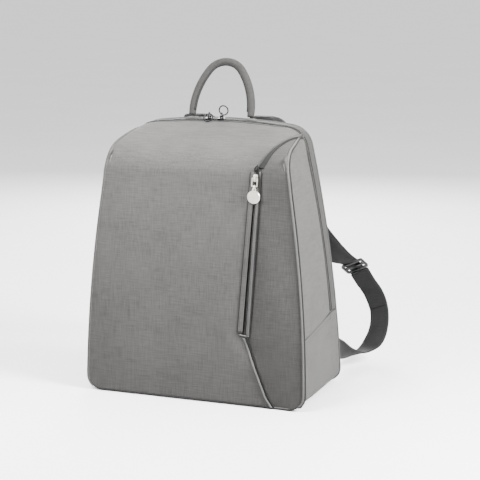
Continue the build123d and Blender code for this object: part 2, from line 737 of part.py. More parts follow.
with BuildPart() as carry_handle:
    with BuildLine(handle_plane) as handle_path:
        Line((-HANDLE_HALF, 0), (-HANDLE_HALF, HANDLE_LEG))
        ThreePointArc((-HANDLE_HALF, HANDLE_LEG), (-halfway[0], halfway[1]), (-join[0], join[1]))
        ThreePointArc((-join[0], join[1]), (0, HANDLE_LEG + HANDLE_RISE), join)
        ThreePointArc(join, halfway, (HANDLE_HALF, HANDLE_LEG))
        Line((HANDLE_HALF, HANDLE_LEG), (HANDLE_HALF, 0))
    with BuildSketch(Plane(origin=handle_path.line @ 0, z_dir=handle_path.line % 0)):
        Circle(HANDLE_RADIUS)
    sweep()
    with Locations((-HANDLE_HALF, HANDLE_Y, handle_z), (HANDLE_HALF, HANDLE_Y, handle_z)):
        Sphere(HANDLE_RADIUS)
save(carry_handle.part, "carry_handle")

handle_feet = [(-HANDLE_HALF, HANDLE_Y, handle_foot_z), (HANDLE_HALF, HANDLE_Y, handle_foot_z)]
with BuildPart() as patch_area:
    with Locations(*handle_feet):
        Box(2 * PATCH_HALF_X, 2 * PATCH_HALF_Y, PATCH_REACH)
with BuildPart() as handle_patches:
    add(shell(-HANDLE_PATCH, 0))
    add(patch_area.part, mode=Mode.INTERSECT)
save(handle_patches.part, "handle_patches")

# ---------------------------------------------------------------- shoulder straps
buckle_reach = BUCKLE_LENGTH / 2 + BUCKLE_CLEAR
pad_end = BUCKLE_CENTRE - BUCKLE_PATH * buckle_reach
web_start = BUCKLE_CENTRE + BUCKLE_PATH * buckle_reach

# Right-hand strap: middle of each cross-section, direction across it, width and thickness.
PAD = [
    ((46, 44, 350), (1, 0, 0), 34, 7),
    ((46.5, 60, 349), (1, 0, 0), 37, 8),
    ((48, 84, 339), (1, 0, 0), PAD_WIDTH, 8),
    ((51, 102, 319), (1, 0, 0), PAD_WIDTH, 8),
    ((56, 114, 293), (1, 0, 0), PAD_WIDTH, 8),
    ((63, 119, 266), (1, 0, 0.1), PAD_WIDTH, 8),
    ((73, 118, 240), (1, 0, 0.25), PAD_WIDTH, 8),
    ((86, 114, 216), (0.9, 0, 0.4), 40, 8),
    ((101, 111, 194), (0.85, 0, 0.5), 37, 7),
    ((118, 115, 174), (0.8, 0.1, 0.5), 33, 6),
    ((130, 129, 159), (0.87, 0.2, 0.3), 29, 5),
    (pad_end, BUCKLE_ACROSS, WEB_WIDTH, 3),
]
WEBBING = [
    (web_start, BUCKLE_ACROSS, WEB_WIDTH, WEB_THICK),
    ((151.5, 175, 121), (0.93, 0.37, 0), WEB_WIDTH, WEB_THICK),
    ((158, 194, 101), (0.93, 0.37, 0), WEB_WIDTH, WEB_THICK),
    ((163.5, 205, 79), (0.93, 0.37, 0), WEB_WIDTH, WEB_THICK),
    ((165, 208, 56), (0.93, 0.35, 0), WEB_WIDTH, WEB_THICK),
    ((162, 203, 35), (0.95, 0.25, 0), WEB_WIDTH, WEB_THICK),
    ((155, 188, 21), (0.95, 0.1, 0.1), WEB_WIDTH, WEB_THICK),
    ((146, 160, 17), (0.93, 0, 0.3), WEB_WIDTH, WEB_THICK),
    ((140, 130, 24), (0.75, 0, 0.65), WEB_WIDTH, WEB_THICK),
    ((137.5, 108, 35), (0.45, 0, 0.9), WEB_WIDTH, WEB_THICK),
    ((138, 91.8, 42.5), (0.15, 0, 1), WEB_WIDTH, WEB_THICK),
]


def mirrored(point, side):
    vector = Vector(point)
    return Vector(vector.X * side, vector.Y, vector.Z)


def ribbon(sections, side, lift=0.0):
    """Strap through a list of sections, mirrored to one side, and lifted off along its normal."""
    middles = [mirrored(section[0], side) for section in sections]
    frames = []
    for index, section in enumerate(sections):
        before = middles[max(index - 1, 0)]
        after = middles[min(index + 1, len(middles) - 1)]
        along = (after - before).normalized()
        across = mirrored(section[1], side)
        across = (across - along * across.dot(along)).normalized()
        normal = along.cross(across) * side
        frames.append(Plane(origin=middles[index] + normal * lift, x_dir=across, z_dir=along))
    outlines = []
    for frame, section in zip(frames, sections):
        with BuildSketch(frame) as outline:
            Rectangle(section[2], section[3])
        outlines.append(outline.sketch)
    with BuildPart() as strap:
        for pair in zip(outlines, outlines[1:]):
            loft(sections=list(pair), ruled=True)
    return strap.part


for name, side in SIDES.items():
    with BuildPart() as strap_anchor:
        with BuildSketch(back_plane()):
            with Locations((side * ANCHOR_X, (ANCHOR_LOW + ANCHOR_HIGH) / 2)):
                Rectangle(PAD_WIDTH, ANCHOR_HIGH - ANCHOR_LOW)
        extrude(amount=-ANCHOR_THICK)
        outer_edges = strap_anchor.faces().sort_by(Axis.Y)[-1].edges()
        fillet(outer_edges, ANCHOR_ROUND)
    save(strap_anchor.part, f"strap_anchor_{name}")

    save(ribbon(PAD, side), f"shoulder_strap_{name}")
    save(ribbon(WEBBING, side), f"strap_webbing_{name}")
    save(ribbon(WEBBING[:TAIL_STEPS], side, TAIL_CLEAR), f"strap_tail_{name}")

    centre = mirrored(BUCKLE_CENTRE, side)
    along = mirrored(BUCKLE_PATH, side)
    across = mirrored(BUCKLE_ACROSS, side)
    across = (across - along * across.dot(along)).normalized()
    frame = Plane(origin=centre, x_dir=across, z_dir=across.cross(along))
    with BuildPart() as strap_buckle:
        with BuildSketch(frame.offset(-BUCKLE_THICK / 2)):
            RectangleRounded(BUCKLE_WIDTH, BUCKLE_LENGTH, BUCKLE_CORNER)
            with GridLocations(1, BUCKLE_BAR + BUCKLE_WINDOW, 1, 2):
                Rectangle(WEB_WIDTH + 1, BUCKLE_WINDOW, mode=Mode.SUBTRACT)
        extrude(amount=BUCKLE_THICK)
    save(strap_buckle.part, f"strap_buckle_{name}")

    base = mirrored(TAB_BASE, side)
    tip = mirrored(TAB_TIP, side)
    with BuildPart() as strap_tab:
        with BuildSketch(Plane(origin=base, x_dir=(0, 0, 1), z_dir=tip - base)):
            Rectangle(TAB_ROOT_WIDTH, TAB_ROOT_THICK)
        with BuildSketch(Plane(origin=tip, x_dir=(0, 0, 1), z_dir=tip - base)):
            Rectangle(TAB_TIP_WIDTH, TAB_TIP_THICK)
        loft(ruled=True)
        below(back_plane())
    save(strap_tab.part, f"strap_tab_{name}")
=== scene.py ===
import json
import math

import bpy
import numpy as np
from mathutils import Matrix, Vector
from numpy.linalg import norm


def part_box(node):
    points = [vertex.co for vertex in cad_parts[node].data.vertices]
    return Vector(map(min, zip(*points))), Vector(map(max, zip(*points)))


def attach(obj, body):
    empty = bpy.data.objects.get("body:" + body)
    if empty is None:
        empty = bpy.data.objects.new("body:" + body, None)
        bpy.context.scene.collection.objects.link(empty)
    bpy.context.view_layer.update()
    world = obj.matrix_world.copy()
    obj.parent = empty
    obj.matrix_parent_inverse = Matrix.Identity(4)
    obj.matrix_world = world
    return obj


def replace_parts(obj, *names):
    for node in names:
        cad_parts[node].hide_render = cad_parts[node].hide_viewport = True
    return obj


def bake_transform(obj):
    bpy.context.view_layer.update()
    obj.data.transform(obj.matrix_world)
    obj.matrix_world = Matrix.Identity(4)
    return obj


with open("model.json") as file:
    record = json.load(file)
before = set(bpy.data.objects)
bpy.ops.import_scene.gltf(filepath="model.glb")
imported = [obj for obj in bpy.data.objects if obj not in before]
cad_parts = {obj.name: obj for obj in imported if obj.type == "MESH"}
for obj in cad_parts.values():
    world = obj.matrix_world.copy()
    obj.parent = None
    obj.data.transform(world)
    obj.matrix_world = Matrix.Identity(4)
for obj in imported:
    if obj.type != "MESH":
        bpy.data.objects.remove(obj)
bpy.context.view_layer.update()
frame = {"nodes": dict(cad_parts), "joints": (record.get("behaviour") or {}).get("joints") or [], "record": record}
MM = 0.001
LEFT_RIGHT = (("left", -1), ("right", 1))
FORWARD = (0, -1, 0)
scene = bpy.context.scene


def place(name, data):
    """A new object in the scene."""
    thing = bpy.data.objects.new(name, data)
    scene.collection.objects.link(thing)
    return thing


def turned(way):
    """Rotation of a camera or lamp that looks along a direction."""
    return way.to_track_quat("-Z", "Y").to_euler()


# ---------------- camera and lights
AZIMUTH, ELEVATION, DISTANCE = math.radians(21.7), math.radians(10.4), 2.0
target = Vector((0, 0, 0.190))
camera_data = bpy.data.cameras.new("camera")
camera_data.lens = 115.0
camera_data.sensor_width = 36.0
camera_data.shift_x = 0.0506
camera_data.shift_y = 0.0075
camera = place("camera", camera_data)
level = math.cos(ELEVATION)
back = Vector((math.sin(AZIMUTH) * level, -math.cos(AZIMUTH) * level, math.sin(ELEVATION)))
camera.location = target + back * DISTANCE
camera.rotation_euler = turned(-back)
scene.camera = camera

# The world lights the bag softly, and the camera sees a brighter one behind it.
LIT_STRENGTH, SEEN_STRENGTH = 0.5, 1.45
world = bpy.data.worlds.new("studio")
world.use_nodes = True
world_nodes, world_link = world.node_tree.nodes, world.node_tree.links.new
lit = world_nodes["Background"]
seen = world_nodes.new("ShaderNodeBackground")
for background, strength in ((lit, LIT_STRENGTH), (seen, SEEN_STRENGTH)):
    background.inputs["Color"].default_value = (1, 1, 1, 1)
    background.inputs["Strength"].default_value = strength
either = world_nodes.new("ShaderNodeMixShader")
rays = world_nodes.new("ShaderNodeLightPath")
world_link(rays.outputs["Is Camera Ray"], either.inputs[0])
world_link(lit.outputs[0], either.inputs[1])
world_link(seen.outputs[0], either.inputs[2])
world_link(either.outputs[0], world_nodes["World Output"].inputs[0])
scene.world = world


def softbox(name, where, aim, size, power):
    data = bpy.data.lights.new(name, "AREA")
    data.shape = "SQUARE"
    data.size = size
    data.energy = power
    light = place(name, data)
    light.location = where
    light.rotation_euler = turned(Vector(aim) - Vector(where))


BAG_MIDDLE = (0, 0, 0.2)
softbox("key", (1.3, -0.3, 0.95), BAG_MIDDLE, 0.6, 128)
softbox("front_top", (-0.15, -0.50, 0.66), (0, -0.07, 0.34), 0.3, 15)
softbox("fill_left", (-1.5, -0.15, 0.8), BAG_MIDDLE, 0.9, 30)
softbox("fill_back", (-0.5, 1.5, 1.0), BAG_MIDDLE, 0.9, 46)
overhead = bpy.data.lights.new("overhead", "SUN")
overhead.energy = 2.6
overhead.angle = 1.2
place("overhead", overhead).rotation_euler = (math.radians(-12), 0, 0)

# ---------------- materials
NOISE_DETAIL = 4.0
SLUBS, THIN, LONG = 240.0, 3.6, 0.22      # scale of the threads' uneven places, and their stretch
PATCHES = 22.0                            # scale of the broad changes of tone
CLOTH_BUMP = (0.35, 0.0004)               # strength, and height in metres


class Nodes:
    """Short names for the nodes that the materials are built from."""

    def __init__(self, name):
        self.material = bpy.data.materials.new(name)
        self.material.use_nodes = True
        self.tree = self.material.node_tree
        self.shader = self.tree.nodes["Principled BSDF"]
        self.object = self.add("TexCoord").outputs["Object"]

    def add(self, kind):
        return self.tree.nodes.new("ShaderNode" + kind)

    def link(self, output, socket):
        self.tree.links.new(output, socket)

    def math(self, operation, a, b=0.0):
        node = self.add("Math")
        node.operation = operation
        for socket, value in zip(node.inputs, (a, b)):
            if isinstance(value, (int, float)):
                socket.default_value = value
            else:
                self.link(value, socket)
        return node.outputs[0]

    def plus(self, value, *terms):
        """A value plus other values times their weights."""
        for term, weight in terms:
            value = self.math("ADD", value, self.math("MULTIPLY", term, weight))
        return value

    def noise(self, scale, stretch=(1, 1, 1)):
        mapping = self.add("Mapping")
        mapping.inputs["Scale"].default_value = stretch
        self.link(self.object, mapping.inputs["Vector"])
        node = self.add("TexNoise")
        node.inputs["Scale"].default_value = scale
        node.inputs["Detail"].default_value = NOISE_DETAIL
        self.link(mapping.outputs[0], node.inputs["Vector"])
        return node.outputs[0]

    def ramp(self, value, stops):
        node = self.add("ValToRGB")
        ramp = node.color_ramp
        while len(ramp.elements) < len(stops):
            ramp.elements.new(0.5)
        for element, (position, colour) in zip(ramp.elements, stops):
            element.position = position
            element.color = (*colour, 1)
        self.link(value, node.inputs[0])
        return node.outputs[0]

    def bump(self, height, strength, distance):
        node = self.add("Bump")
        node.inputs["Strength"].default_value = strength
        node.inputs["Distance"].default_value = distance
        self.link(height, node.inputs["Height"])
        self.link(node.outputs[0], self.shader.inputs["Normal"])

    def finish(self, colour, roughness, sockets=()):
        self.link(colour, self.shader.inputs["Base Color"])
        self.link(roughness, self.shader.inputs["Roughness"])
        for name, value in sockets:
            self.shader.inputs[name].default_value = value
        return self.material


def scaled(colour, factor):
    return tuple(min(1.0, channel * factor) for channel in colour)


def woven(name, colour, pitch, contrast, rib=1.0, sheen=0.04):
    """Cloth woven from uneven threads. The pitch is the length of one wave of the weave, in metres."""
    n = Nodes(name)
    split = n.add("SeparateXYZ")
    n.link(n.object, split.inputs[0])
    wave = 2 * math.pi / pitch
    level = n.math("ADD", split.outputs[0], split.outputs[1])
    warp = n.math("SINE", n.math("MULTIPLY", level, wave))
    weft = n.math("SINE", n.math("MULTIPLY", split.outputs[2], wave * rib))
    weave = n.math("MULTIPLY", warp, weft)
    slub_up = n.noise(SLUBS, (THIN, THIN, LONG))
    slub_across = n.noise(SLUBS, (LONG, LONG, THIN))
    patch = n.noise(PATCHES)
    threads = n.plus(0.0, (slub_up, 0.5), (slub_across, 0.5))
    tone = n.plus(0.0, (threads, 0.82), (patch, 0.18), (weave, 0.03))
    low, high = scaled(colour, 1 - contrast), scaled(colour, 1 + contrast)
    shade = n.ramp(tone, [(0.34, low), (0.5, colour), (0.66, high)])
    n.bump(n.plus(threads, (weave, 0.6)), *CLOTH_BUMP)
    return n.finish(shade, n.plus(0.72, (threads, 0.2)),
                    (("Sheen Weight", sheen), ("Sheen Roughness", 0.5), ("Specular IOR Level", 0.2)))


def metal(name, colour, roughness, worn):
    n = Nodes(name)
    scratches = n.noise(900.0, (1, 1, 0.2))
    spots = n.noise(160.0)
    shade = n.ramp(spots, [(0.35, colour), (0.75, worn)])
    n.bump(scratches, 0.08, 0.0002)
    return n.finish(shade, n.plus(roughness, (scratches, 0.25)), (("Metallic", 1.0),))


def plastic(name, colour, roughness):
    n = Nodes(name)
    grain = n.noise(1800.0)
    broad = n.noise(60.0)
    shade = n.ramp(broad, [(0.3, scaled(colour, 0.85)), (0.7, scaled(colour, 1.25))])
    n.bump(grain, 0.2, 0.0002)
    return n.finish(shade, n.plus(roughness, (grain, 0.2)))


GREY = (0.0627, 0.0611, 0.0586)
# Colour, wave of the weave in metres, contrast, ribs and sheen.
CLOTHS = {
    "outer_cloth": (GREY, 0.0011, 0.32),
    # Painted shade: the outer cloth made darker for the front pocket panel, which sits recessed in shade.
    "pocket_cloth_painted_shade": (scaled(GREY, 0.72), 0.0011, 0.32),
    "rim_cloth": (scaled(GREY, 0.58), 0.0011, 0.3),
    # Near-black, painted as the shadow deep in folds and gaps.
    "fold_painted_shadow": (3 * (0.0035,), 0.0009, 0.2),
    "handle_cloth": (scaled(GREY, 0.46), 0.0011, 0.25),
    "lining_cloth": ((0.128, 0.1267, 0.1216), 0.0006, 0.05, 1.0, 0.1),
    "zip_tape": (3 * (0.0192,), 0.0007, 0.2),
    "grey_tape": ((0.048, 0.0474, 0.0454), 0.0007, 0.2),
    "elastic": (3 * (0.0115,), 0.0016, 0.25, 0.3),
    "strap_cloth": ((0.0074, 0.0074, 0.0077), 0.0012, 0.5),
    "webbing": ((0.0068, 0.0068, 0.0071), 0.0018, 0.6, 0.5),
    "thread": ((0.0544, 0.0538, 0.0512), 0.0005, 0.1),
    "dark_thread": ((0.0192, 0.0192, 0.0198), 0.0005, 0.1),
    "seam_shade": ((0.0128, 0.0128, 0.0125), 0.0007, 0.15),
}
materials = {slot: woven(slot, *row) for slot, row in CLOTHS.items()}
materials.update({
    # The lighter piping colour also paints highlights: on the right piping and on the thin cords along the welts and
    # the main panel's fold.
    "piping": woven("piping_cloth_and_highlight", (0.0864, 0.0845, 0.0813), 0.0009, 0.15),
    "foam": plastic("foam", (0.3, 0.3, 0.29), 0.8),
    "board": plastic("board", 3 * (0.0128,), 0.6),
    "zip_coil": plastic("zip_coil", 3 * (0.0083,), 0.35),
    "dark_metal": metal("gunmetal", (0.016, 0.016, 0.018), 0.3, 3 * (0.05,)),
    "bright_metal": metal("nickel", (0.78, 0.76, 0.70), 0.24, (0.66, 0.63, 0.56)),
    "buckle": plastic("buckle", (0.0038, 0.0038, 0.0042), 0.32),
})
for sub in frame["record"]["subparts"]:
    node = frame["nodes"][sub["node"]]
    node.data.materials.clear()
    node.data.materials.append(materials[sub["material_slot"]])

floor_nodes = Nodes("floor")
floor_tone = floor_nodes.noise(3.0)
floor_shade = floor_nodes.ramp(floor_tone, [(0.3, 3 * (0.90,)), (0.7, 3 * (0.93,))])
floor_material = floor_nodes.finish(floor_shade, floor_nodes.plus(0.7, (floor_tone, 0.1)))


# ---------------- mesh helpers, all in millimetres
def at(x, y, z):
    """Points from three coordinates, each a number or an array."""
    return np.stack(np.broadcast_arrays(x, y, z), -1)


def unit(value):
    """The value kept between 0 and 1."""
    return np.clip(value, 0, 1)


def run(path):
    """How far along a path each of its points is."""
    return np.concatenate([[0], np.cumsum(norm(np.diff(path, axis=0), axis=1))])


def directions(vectors):
    return vectors / norm(vectors, axis=-1, keepdims=True)


def box_grid(node, axes, margins, counts):
    """Two coordinates over a CAD node's box, inside margins, as grids."""
    low, high = (np.array(corner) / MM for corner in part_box(node))
    return np.meshgrid(*(np.linspace(low[a] + m, high[a] - m, n) for a, m, n in zip(axes, margins, counts)))


def inside(value, fade):
    """1 in the middle of a grid's values, falling to 0 over a share of their half width."""
    return unit((1 - np.abs(value - value.mean()) / (np.ptp(value) / 2)) / fade)


def build(name, points, faces, uvs, slot, material=None):
    mesh = bpy.data.meshes.new(name)
    mesh.from_pydata((np.asarray(points) * MM).tolist(), [], faces)
    layer = mesh.uv_layers.new(name="UVMap")
    corners = np.array([loop.vertex_index for loop in mesh.loops])
    layer.data.foreach_set("uv", (np.asarray(uvs)[corners] * MM).ravel())
    mesh.polygons.foreach_set("use_smooth", [True] * len(mesh.polygons))
    mesh.materials.append(materials[material or slot])
    piece = place(name, mesh)
    return piece


def lengths(points, axis):
    """Distance of each point of a grid from its row's or column's first point."""
    total = np.cumsum(norm(np.diff(points, axis=axis), axis=2), axis=axis)
    pad = [(0, 0), (0, 0)]
    pad[axis] = (1, 0)
    return np.pad(total, pad)


def normals_of(points, centre):
    """Normals of a grid, turned away from a centre."""
    normal = np.cross(np.gradient(points, axis=1), np.gradient(points, axis=0))
    normal /= np.maximum(norm(normal, axis=2, keepdims=True), 1e-9)
    return -normal if np.sum(normal * (points - np.asarray(centre))) < 0 else normal


def grid_faces(rows, columns):
    return [(i * columns + j, i * columns + j + 1, (i + 1) * columns + j + 1, (i + 1) * columns + j)
            for i in range(rows - 1) for j in range(columns - 1)]


def slab(name, points, thick, slot="outer_cloth", centre=(0, 0, 170), material=None, normal=None):
    """A cloth panel: a grid of points on its outer face, and its thickness inwards."""
    rows, columns, _ = points.shape
    normal = normals_of(points, centre) if normal is None else np.broadcast_to(normal, points.shape)
    inner = points - normal * thick
    uvs = np.stack([lengths(points, 1), lengths(points, 0)], axis=2).reshape(-1, 2)
    count = rows * columns
    outside = grid_faces(rows, columns)
    sample = outside[len(outside) // 2]
    first = points.reshape(-1, 3)[list(sample)]
    flipped = np.cross(first[1] - first[0], first[2] - first[0]) @ normal.reshape(-1, 3)[sample[0]] < 0
    if flipped:
        outside = [face[::-1] for face in outside]
    behind = [tuple(count + i for i in face[::-1]) for face in outside]
    edge = list(range(columns))
    edge += [i * columns + columns - 1 for i in range(1, rows)]
    edge += [(rows - 1) * columns + j for j in range(columns - 2, -1, -1)]
    edge += [i * columns for i in range(rows - 2, 0, -1)]
    rim = [(a, b, b + count, a + count) if flipped else (b, a, a + count, b + count)
           for a, b in zip(edge, edge[1:] + edge[:1])]
    both = np.concatenate([points.reshape(-1, 3), inner.reshape(-1, 3)])
    return build(name, both, outside + behind + rim, np.concatenate([uvs, uvs]), slot, material)


def smooth_path(points, count):
    """Catmull-Rom curve through a list of rows of numbers."""
    knots = np.asarray(points, float)
    padded = np.vstack([2 * knots[0] - knots[1], knots, 2 * knots[-1] - knots[-2]])
    result = []
    for s in np.linspace(0, len(knots) - 1, count):
        i = min(int(s), len(knots) - 2)
        t = s - i
        a, b, c, d = padded[i:i + 4]
        result.append(0.5 * (2 * b + (c - a) * t + (2 * a - 5 * b + 4 * c - d) * t ** 2
                             + (3 * b - a - 3 * c + d) * t ** 3))
    return np.array(result)


def frames_along(path, up):
    """Directions along, beside and above each point of a path."""
    tangent = directions(np.gradient(path, axis=0))
    side = np.cross(tangent, np.broadcast_to(np.asarray(up, float), path.shape))
    side /= np.maximum(norm(side, axis=1, keepdims=True), 1e-9)
    return tangent, side, np.cross(side, tangent)


def tube_faces(rows, count):
    return [(i * count + j, (i + 1) * count + j, (i + 1) * count + (j + 1) % count, i * count + (j + 1) % count)
            for i in range(rows - 1) for j in range(count)]


def sweep(name, path, outline, slot="outer_cloth", up=FORWARD, material=None, scale=None):
    """Closed outline (side, up) carried along a path, with its ends filled."""
    path = np.asarray(path, float)
    _, side, top = frames_along(path, up)
    scale = np.ones(len(path)) if scale is None else np.asarray(scale)
    count = len(outline)
    rings = (path[:, None] + side[:, None] * outline[None, :, :1] * scale[:, None, None]
             + top[:, None] * outline[None, :, 1:] * scale[:, None, None])
    last = (len(path) - 1) * count
    faces = tube_faces(len(path), count) + [tuple(range(count)), tuple(last + j for j in reversed(range(count)))]
    uvs = np.stack(np.meshgrid(run(path), run(outline), indexing="ij"), axis=2).reshape(-1, 2)
    return build(name, rings.reshape(-1, 3), faces, uvs, slot, material)


def circle(radius, count=16, squash=1.0):
    angles = np.linspace(0, 2 * math.pi, count, endpoint=False)
    return np.stack([radius * np.cos(angles), radius * squash * np.sin(angles)], axis=1)


def scatter(name, places, along, side, size, slot, material=None):
    """Many small beads in one mesh: stitches and zip teeth. The size is half of each way."""
    a, b, c = size
    shape = [(-a, 0, 0), (a, 0, 0)]
    shape += [(s * a * 0.6, b * y, c * z) for s in (-1, 1) for y, z in ((1, 0), (0, 1), (-1, 0), (0, -1))]
    shape = np.array(shape)
    faces = []
    for k in range(4):
        l = (k + 1) % 4
        faces += [(0, 2 + l, 2 + k), (1, 6 + k, 6 + l), (2 + k, 2 + l, 6 + l, 6 + k)]
    points, all_faces = [], []
    for middle, x, y in zip(places, np.broadcast_to(along, places.shape), np.broadcast_to(side, places.shape)):
        start = len(points) * len(shape)
        points.append(middle + shape[:, :1] * x + shape[:, 1:2] * y + shape[:, 2:] * np.cross(x, y))
        all_faces += [tuple(start + i for i in face) for face in faces]
    points = np.concatenate(points)
    return build(name, points, all_faces, points[:, [0, 2]], slot, material)


def even(path, step):
    """Evenly spaced points along a path."""
    path = np.asarray(path, float)
    along = run(path)
    wanted = np.arange(step / 2, along[-1], step)
    return np.stack([np.interp(wanted, along, path[:, k]) for k in range(3)], axis=1)


def stitches(name, path, up, slot="outer_cloth", material="thread", pitch=3.4, length=1.15, lift=0.15):
    places = even(path, pitch)
    tangent, side, top = frames_along(places, up)
    return scatter(name, places + top * lift, tangent, side, (length, 0.32, 0.26), slot, material)


def wander(seed, points, size, height):
    """Smooth made-up unevenness, the same on every run."""
    WAVES = 7
    rng = np.random.default_rng(seed)
    total = np.zeros(points.shape[:-1])
    for _ in range(WAVES):
        direction = rng.normal(size=3)
        direction /= norm(direction)
        wavelength = size * rng.uniform(0.6, 1.6)
        total += np.sin(points @ direction * 2 * math.pi / wavelength + rng.uniform(0, 2 * math.pi))
    return total * height / WAVES


# ---------------- the bag's shape, as in the CAD
FRONT_Y, FRONT_LEAN = -79.0, 0.0319       # front plane: y at the floor, and how it leans with z
ZIP_Y, BACK_LEAN, GUSSET = 57.0, -0.13, 22.0
BACK_Y = ZIP_Y + GUSSET
SHOULDER_Z, SHOULDER_HALF = 313.5, 118.0  # where the front turns into the roof
CLOTH, LINING = 2.4, 0.8
ZIP_HALF = 4.0
BASE_CORNER, ZIP_CORNER = 20.0, 29.0      # radii seen from the front
FOOT, WAIST, ZIP_SHOULDER, CROWN = (148.0, 0.0), (140.2, 157.0), (114.5, 342.5), (0.0, 351.0)
HINGE_Z, FOLD_SLOPE, BEND = 88.0, 0.12, 44.0
hinge = np.array([0.0, FRONT_Y + FRONT_LEAN * HINGE_Z, HINGE_Z])


def circle_through(p, q, r):
    (ax, ay), (bx, by), (cx, cy) = p, q, r
    d = 2 * (ax * (by - cy) + bx * (cy - ay) + cx * (ay - by))
    a2, b2, c2 = ax * ax + ay * ay, bx * bx + by * by, cx * cx + cy * cy
    x = (a2 * (by - cy) + b2 * (cy - ay) + c2 * (ay - by)) / d
    y = (a2 * (cx - bx) + b2 * (ax - cx) + c2 * (bx - ax)) / d
    return x, y, math.hypot(ax - x, ay - y)


front_arc = circle_through(FOOT, WAIST, (SHOULDER_HALF, SHOULDER_Z))
zip_arc = circle_through(FOOT, WAIST, ZIP_SHOULDER)
crown_arc = circle_through((-ZIP_SHOULDER[0], ZIP_SHOULDER[1]), CROWN, ZIP_SHOULDER)


def arc_x(arc, z):
    return arc[0] + np.sqrt(arc[2] ** 2 - (np.asarray(z, float) - arc[1]) ** 2)


def corner_cut(x, z):
    """Rounds the bottom corners, seen from the front."""
    low = np.clip(BASE_CORNER - np.asarray(z, float), 0, BASE_CORNER)
    return np.minimum(x, FOOT[0] - BASE_CORNER + np.sqrt(BASE_CORNER ** 2 - low ** 2))


def zip_corner():
    """Middle of the rounding between side and crown, found by halving."""
    low, high = 60.0, 110.0
    for _ in range(60):
        x = (low + high) / 2
        z = crown_arc[1] + math.sqrt((crown_arc[2] - ZIP_CORNER) ** 2 - x * x)
        if math.hypot(x - zip_arc[0], z - zip_arc[1]) < zip_arc[2] - ZIP_CORNER:
            low = x
        else:
            high = x
    return x, z


corner_x, corner_z = zip_corner()
side_angle = math.atan2(corner_z - zip_arc[1], corner_x - zip_arc[0])
crown_angle = math.atan2(corner_z - crown_arc[1], corner_x)
SEAM_ANGLE = math.radians(44)
def on_corner(angle):
    return corner_x + ZIP_CORNER * math.cos(angle), corner_z + ZIP_CORNER * math.sin(angle)


seam_top = on_corner(SEAM_ANGLE)


def zip_half_outline():
    """Right half of the zip line from the floor to the middle of the crown: x, z."""
    side_top = zip_arc[1] + zip_arc[2] * math.sin(side_angle)
    z = np.concatenate([np.linspace(0, BASE_CORNER, 10)[:-1], np.linspace(BASE_CORNER, side_top, 60)])
    points = list(zip(corner_cut(arc_x(zip_arc, z), z), z))
    points += [on_corner(angle) for angle in np.linspace(side_angle, crown_angle, 14)[1:]]
    points += [(x, crown_arc[1] + math.sqrt(crown_arc[2] ** 2 - x * x))
               for x in np.linspace(points[-1][0], 0, 30)[1:]]
    return np.array(points)


half_line = zip_half_outline()


def crown_z(x):
    return np.interp(np.abs(x), half_line[::-1, 0], half_line[::-1, 1])


def front_y(z):
    return FRONT_Y + FRONT_LEAN * z


def zip_y(z):
    return ZIP_Y + BACK_LEAN * z


def fold_z(y):
    return HINGE_Z + FOLD_SLOPE * (y - hinge[1])


def puff(points):
    """Filling rounds the seams that run from the shoulder's corners back to the zip."""
    points = np.asarray(points, float)
    middle = (seam_top[0] + SHOULDER_HALF) / 2
    back = unit((points[..., 1] - front_y(SHOULDER_Z) + 22) / 104.0)
    line_z = SHOULDER_Z + (seam_top[1] - SHOULDER_Z) * unit((points[..., 1] + 69) / 82.0)
    away = np.hypot(np.abs(points[..., 0]) - middle, points[..., 2] - line_z)
    amount = 5.5 * np.sin(np.pi * back) ** 0.8 * np.exp(-(away / 26.0) ** 2)
    return points + at(np.sign(points[..., 0]) * 0.72, -0.1, 0.68) * amount[..., None]


# The seam between the two front panels, from below the floor to above the crown: x, z.
SEAM = np.array([(108.8, -1.0), (99.0, 13.0), (68.5, 88.0), (83.5, 302.0), (92.5, 315.0), (112.5, 340.0),
                 (118.0, 360.0)])


def seam_x(z):
    return np.interp(z, SEAM[:, 1], SEAM[:, 0])


# Rows of the front panels: up the front, round the shoulder, and over the roof to the zip.
ROLL = 26.0                 # the shoulder's rounding starts this far below and behind its edge
FRONT_ROWS, ROLL_ROWS, ROOF_ROWS = 74, 16, 22


def front_point(share, row):
    """Point of the front's or roof's outer face; share is -1 at the left edge and 1 at the right."""
    share = np.asarray(share, float)
    edge = at(share * (SHOULDER_HALF - 2.6), front_y(SHOULDER_Z), SHOULDER_Z)
    top_x = share * seam_top[0]
    top_z = crown_z(top_x)
    roof = at(top_x, zip_y(top_z), top_z) - edge
    length = norm(roof, axis=-1, keepdims=True)
    if row < FRONT_ROWS:
        z = (SHOULDER_Z - ROLL) * (row / FRONT_ROWS)
        return at(share * corner_cut(arc_x(front_arc, z), z), front_y(z), z)
    if row < FRONT_ROWS + ROLL_ROWS:
        t = (row - FRONT_ROWS) / ROLL_ROWS
        z = SHOULDER_Z - ROLL
        low = at(share * arc_x(front_arc, z), front_y(z), z)
        high = edge + roof * ROLL / length
        return low * (1 - t) ** 2 + edge * 2 * t * (1 - t) + high * t * t
    t = (row - FRONT_ROWS - ROLL_ROWS) / ROOF_ROWS
    start, stop = ROLL / length, 1 - ZIP_HALF / length
    return edge + roof * (start + (stop - start) * t)


def swell(points, share):
    """How far the filled front stands out, except beside the pocket seam."""
    z = points[..., 2]
    full = np.sin(np.pi * unit(z / 290.0) ** 0.8) * (1 - np.abs(share) ** 3)
    back = unit((points[..., 1] - front_y(SHOULDER_Z) + 14) / 96.0)
    roof = np.sin(np.pi * back) * unit((z - 270) / 30.0) * (1 - np.abs(share) ** 10)
    uneven = wander(3, points, 150, 0.9) * unit(1 - np.abs(share) ** 6)
    near_seam = np.exp(-((points[..., 0] - seam_x(z)) / 17.0) ** 2)
    beside = 1 - near_seam * unit((z - 50) / 20.0) * unit((315 - z) / 10.0)
    return (3.6 * full + 2.4 * roof + uneven) * beside


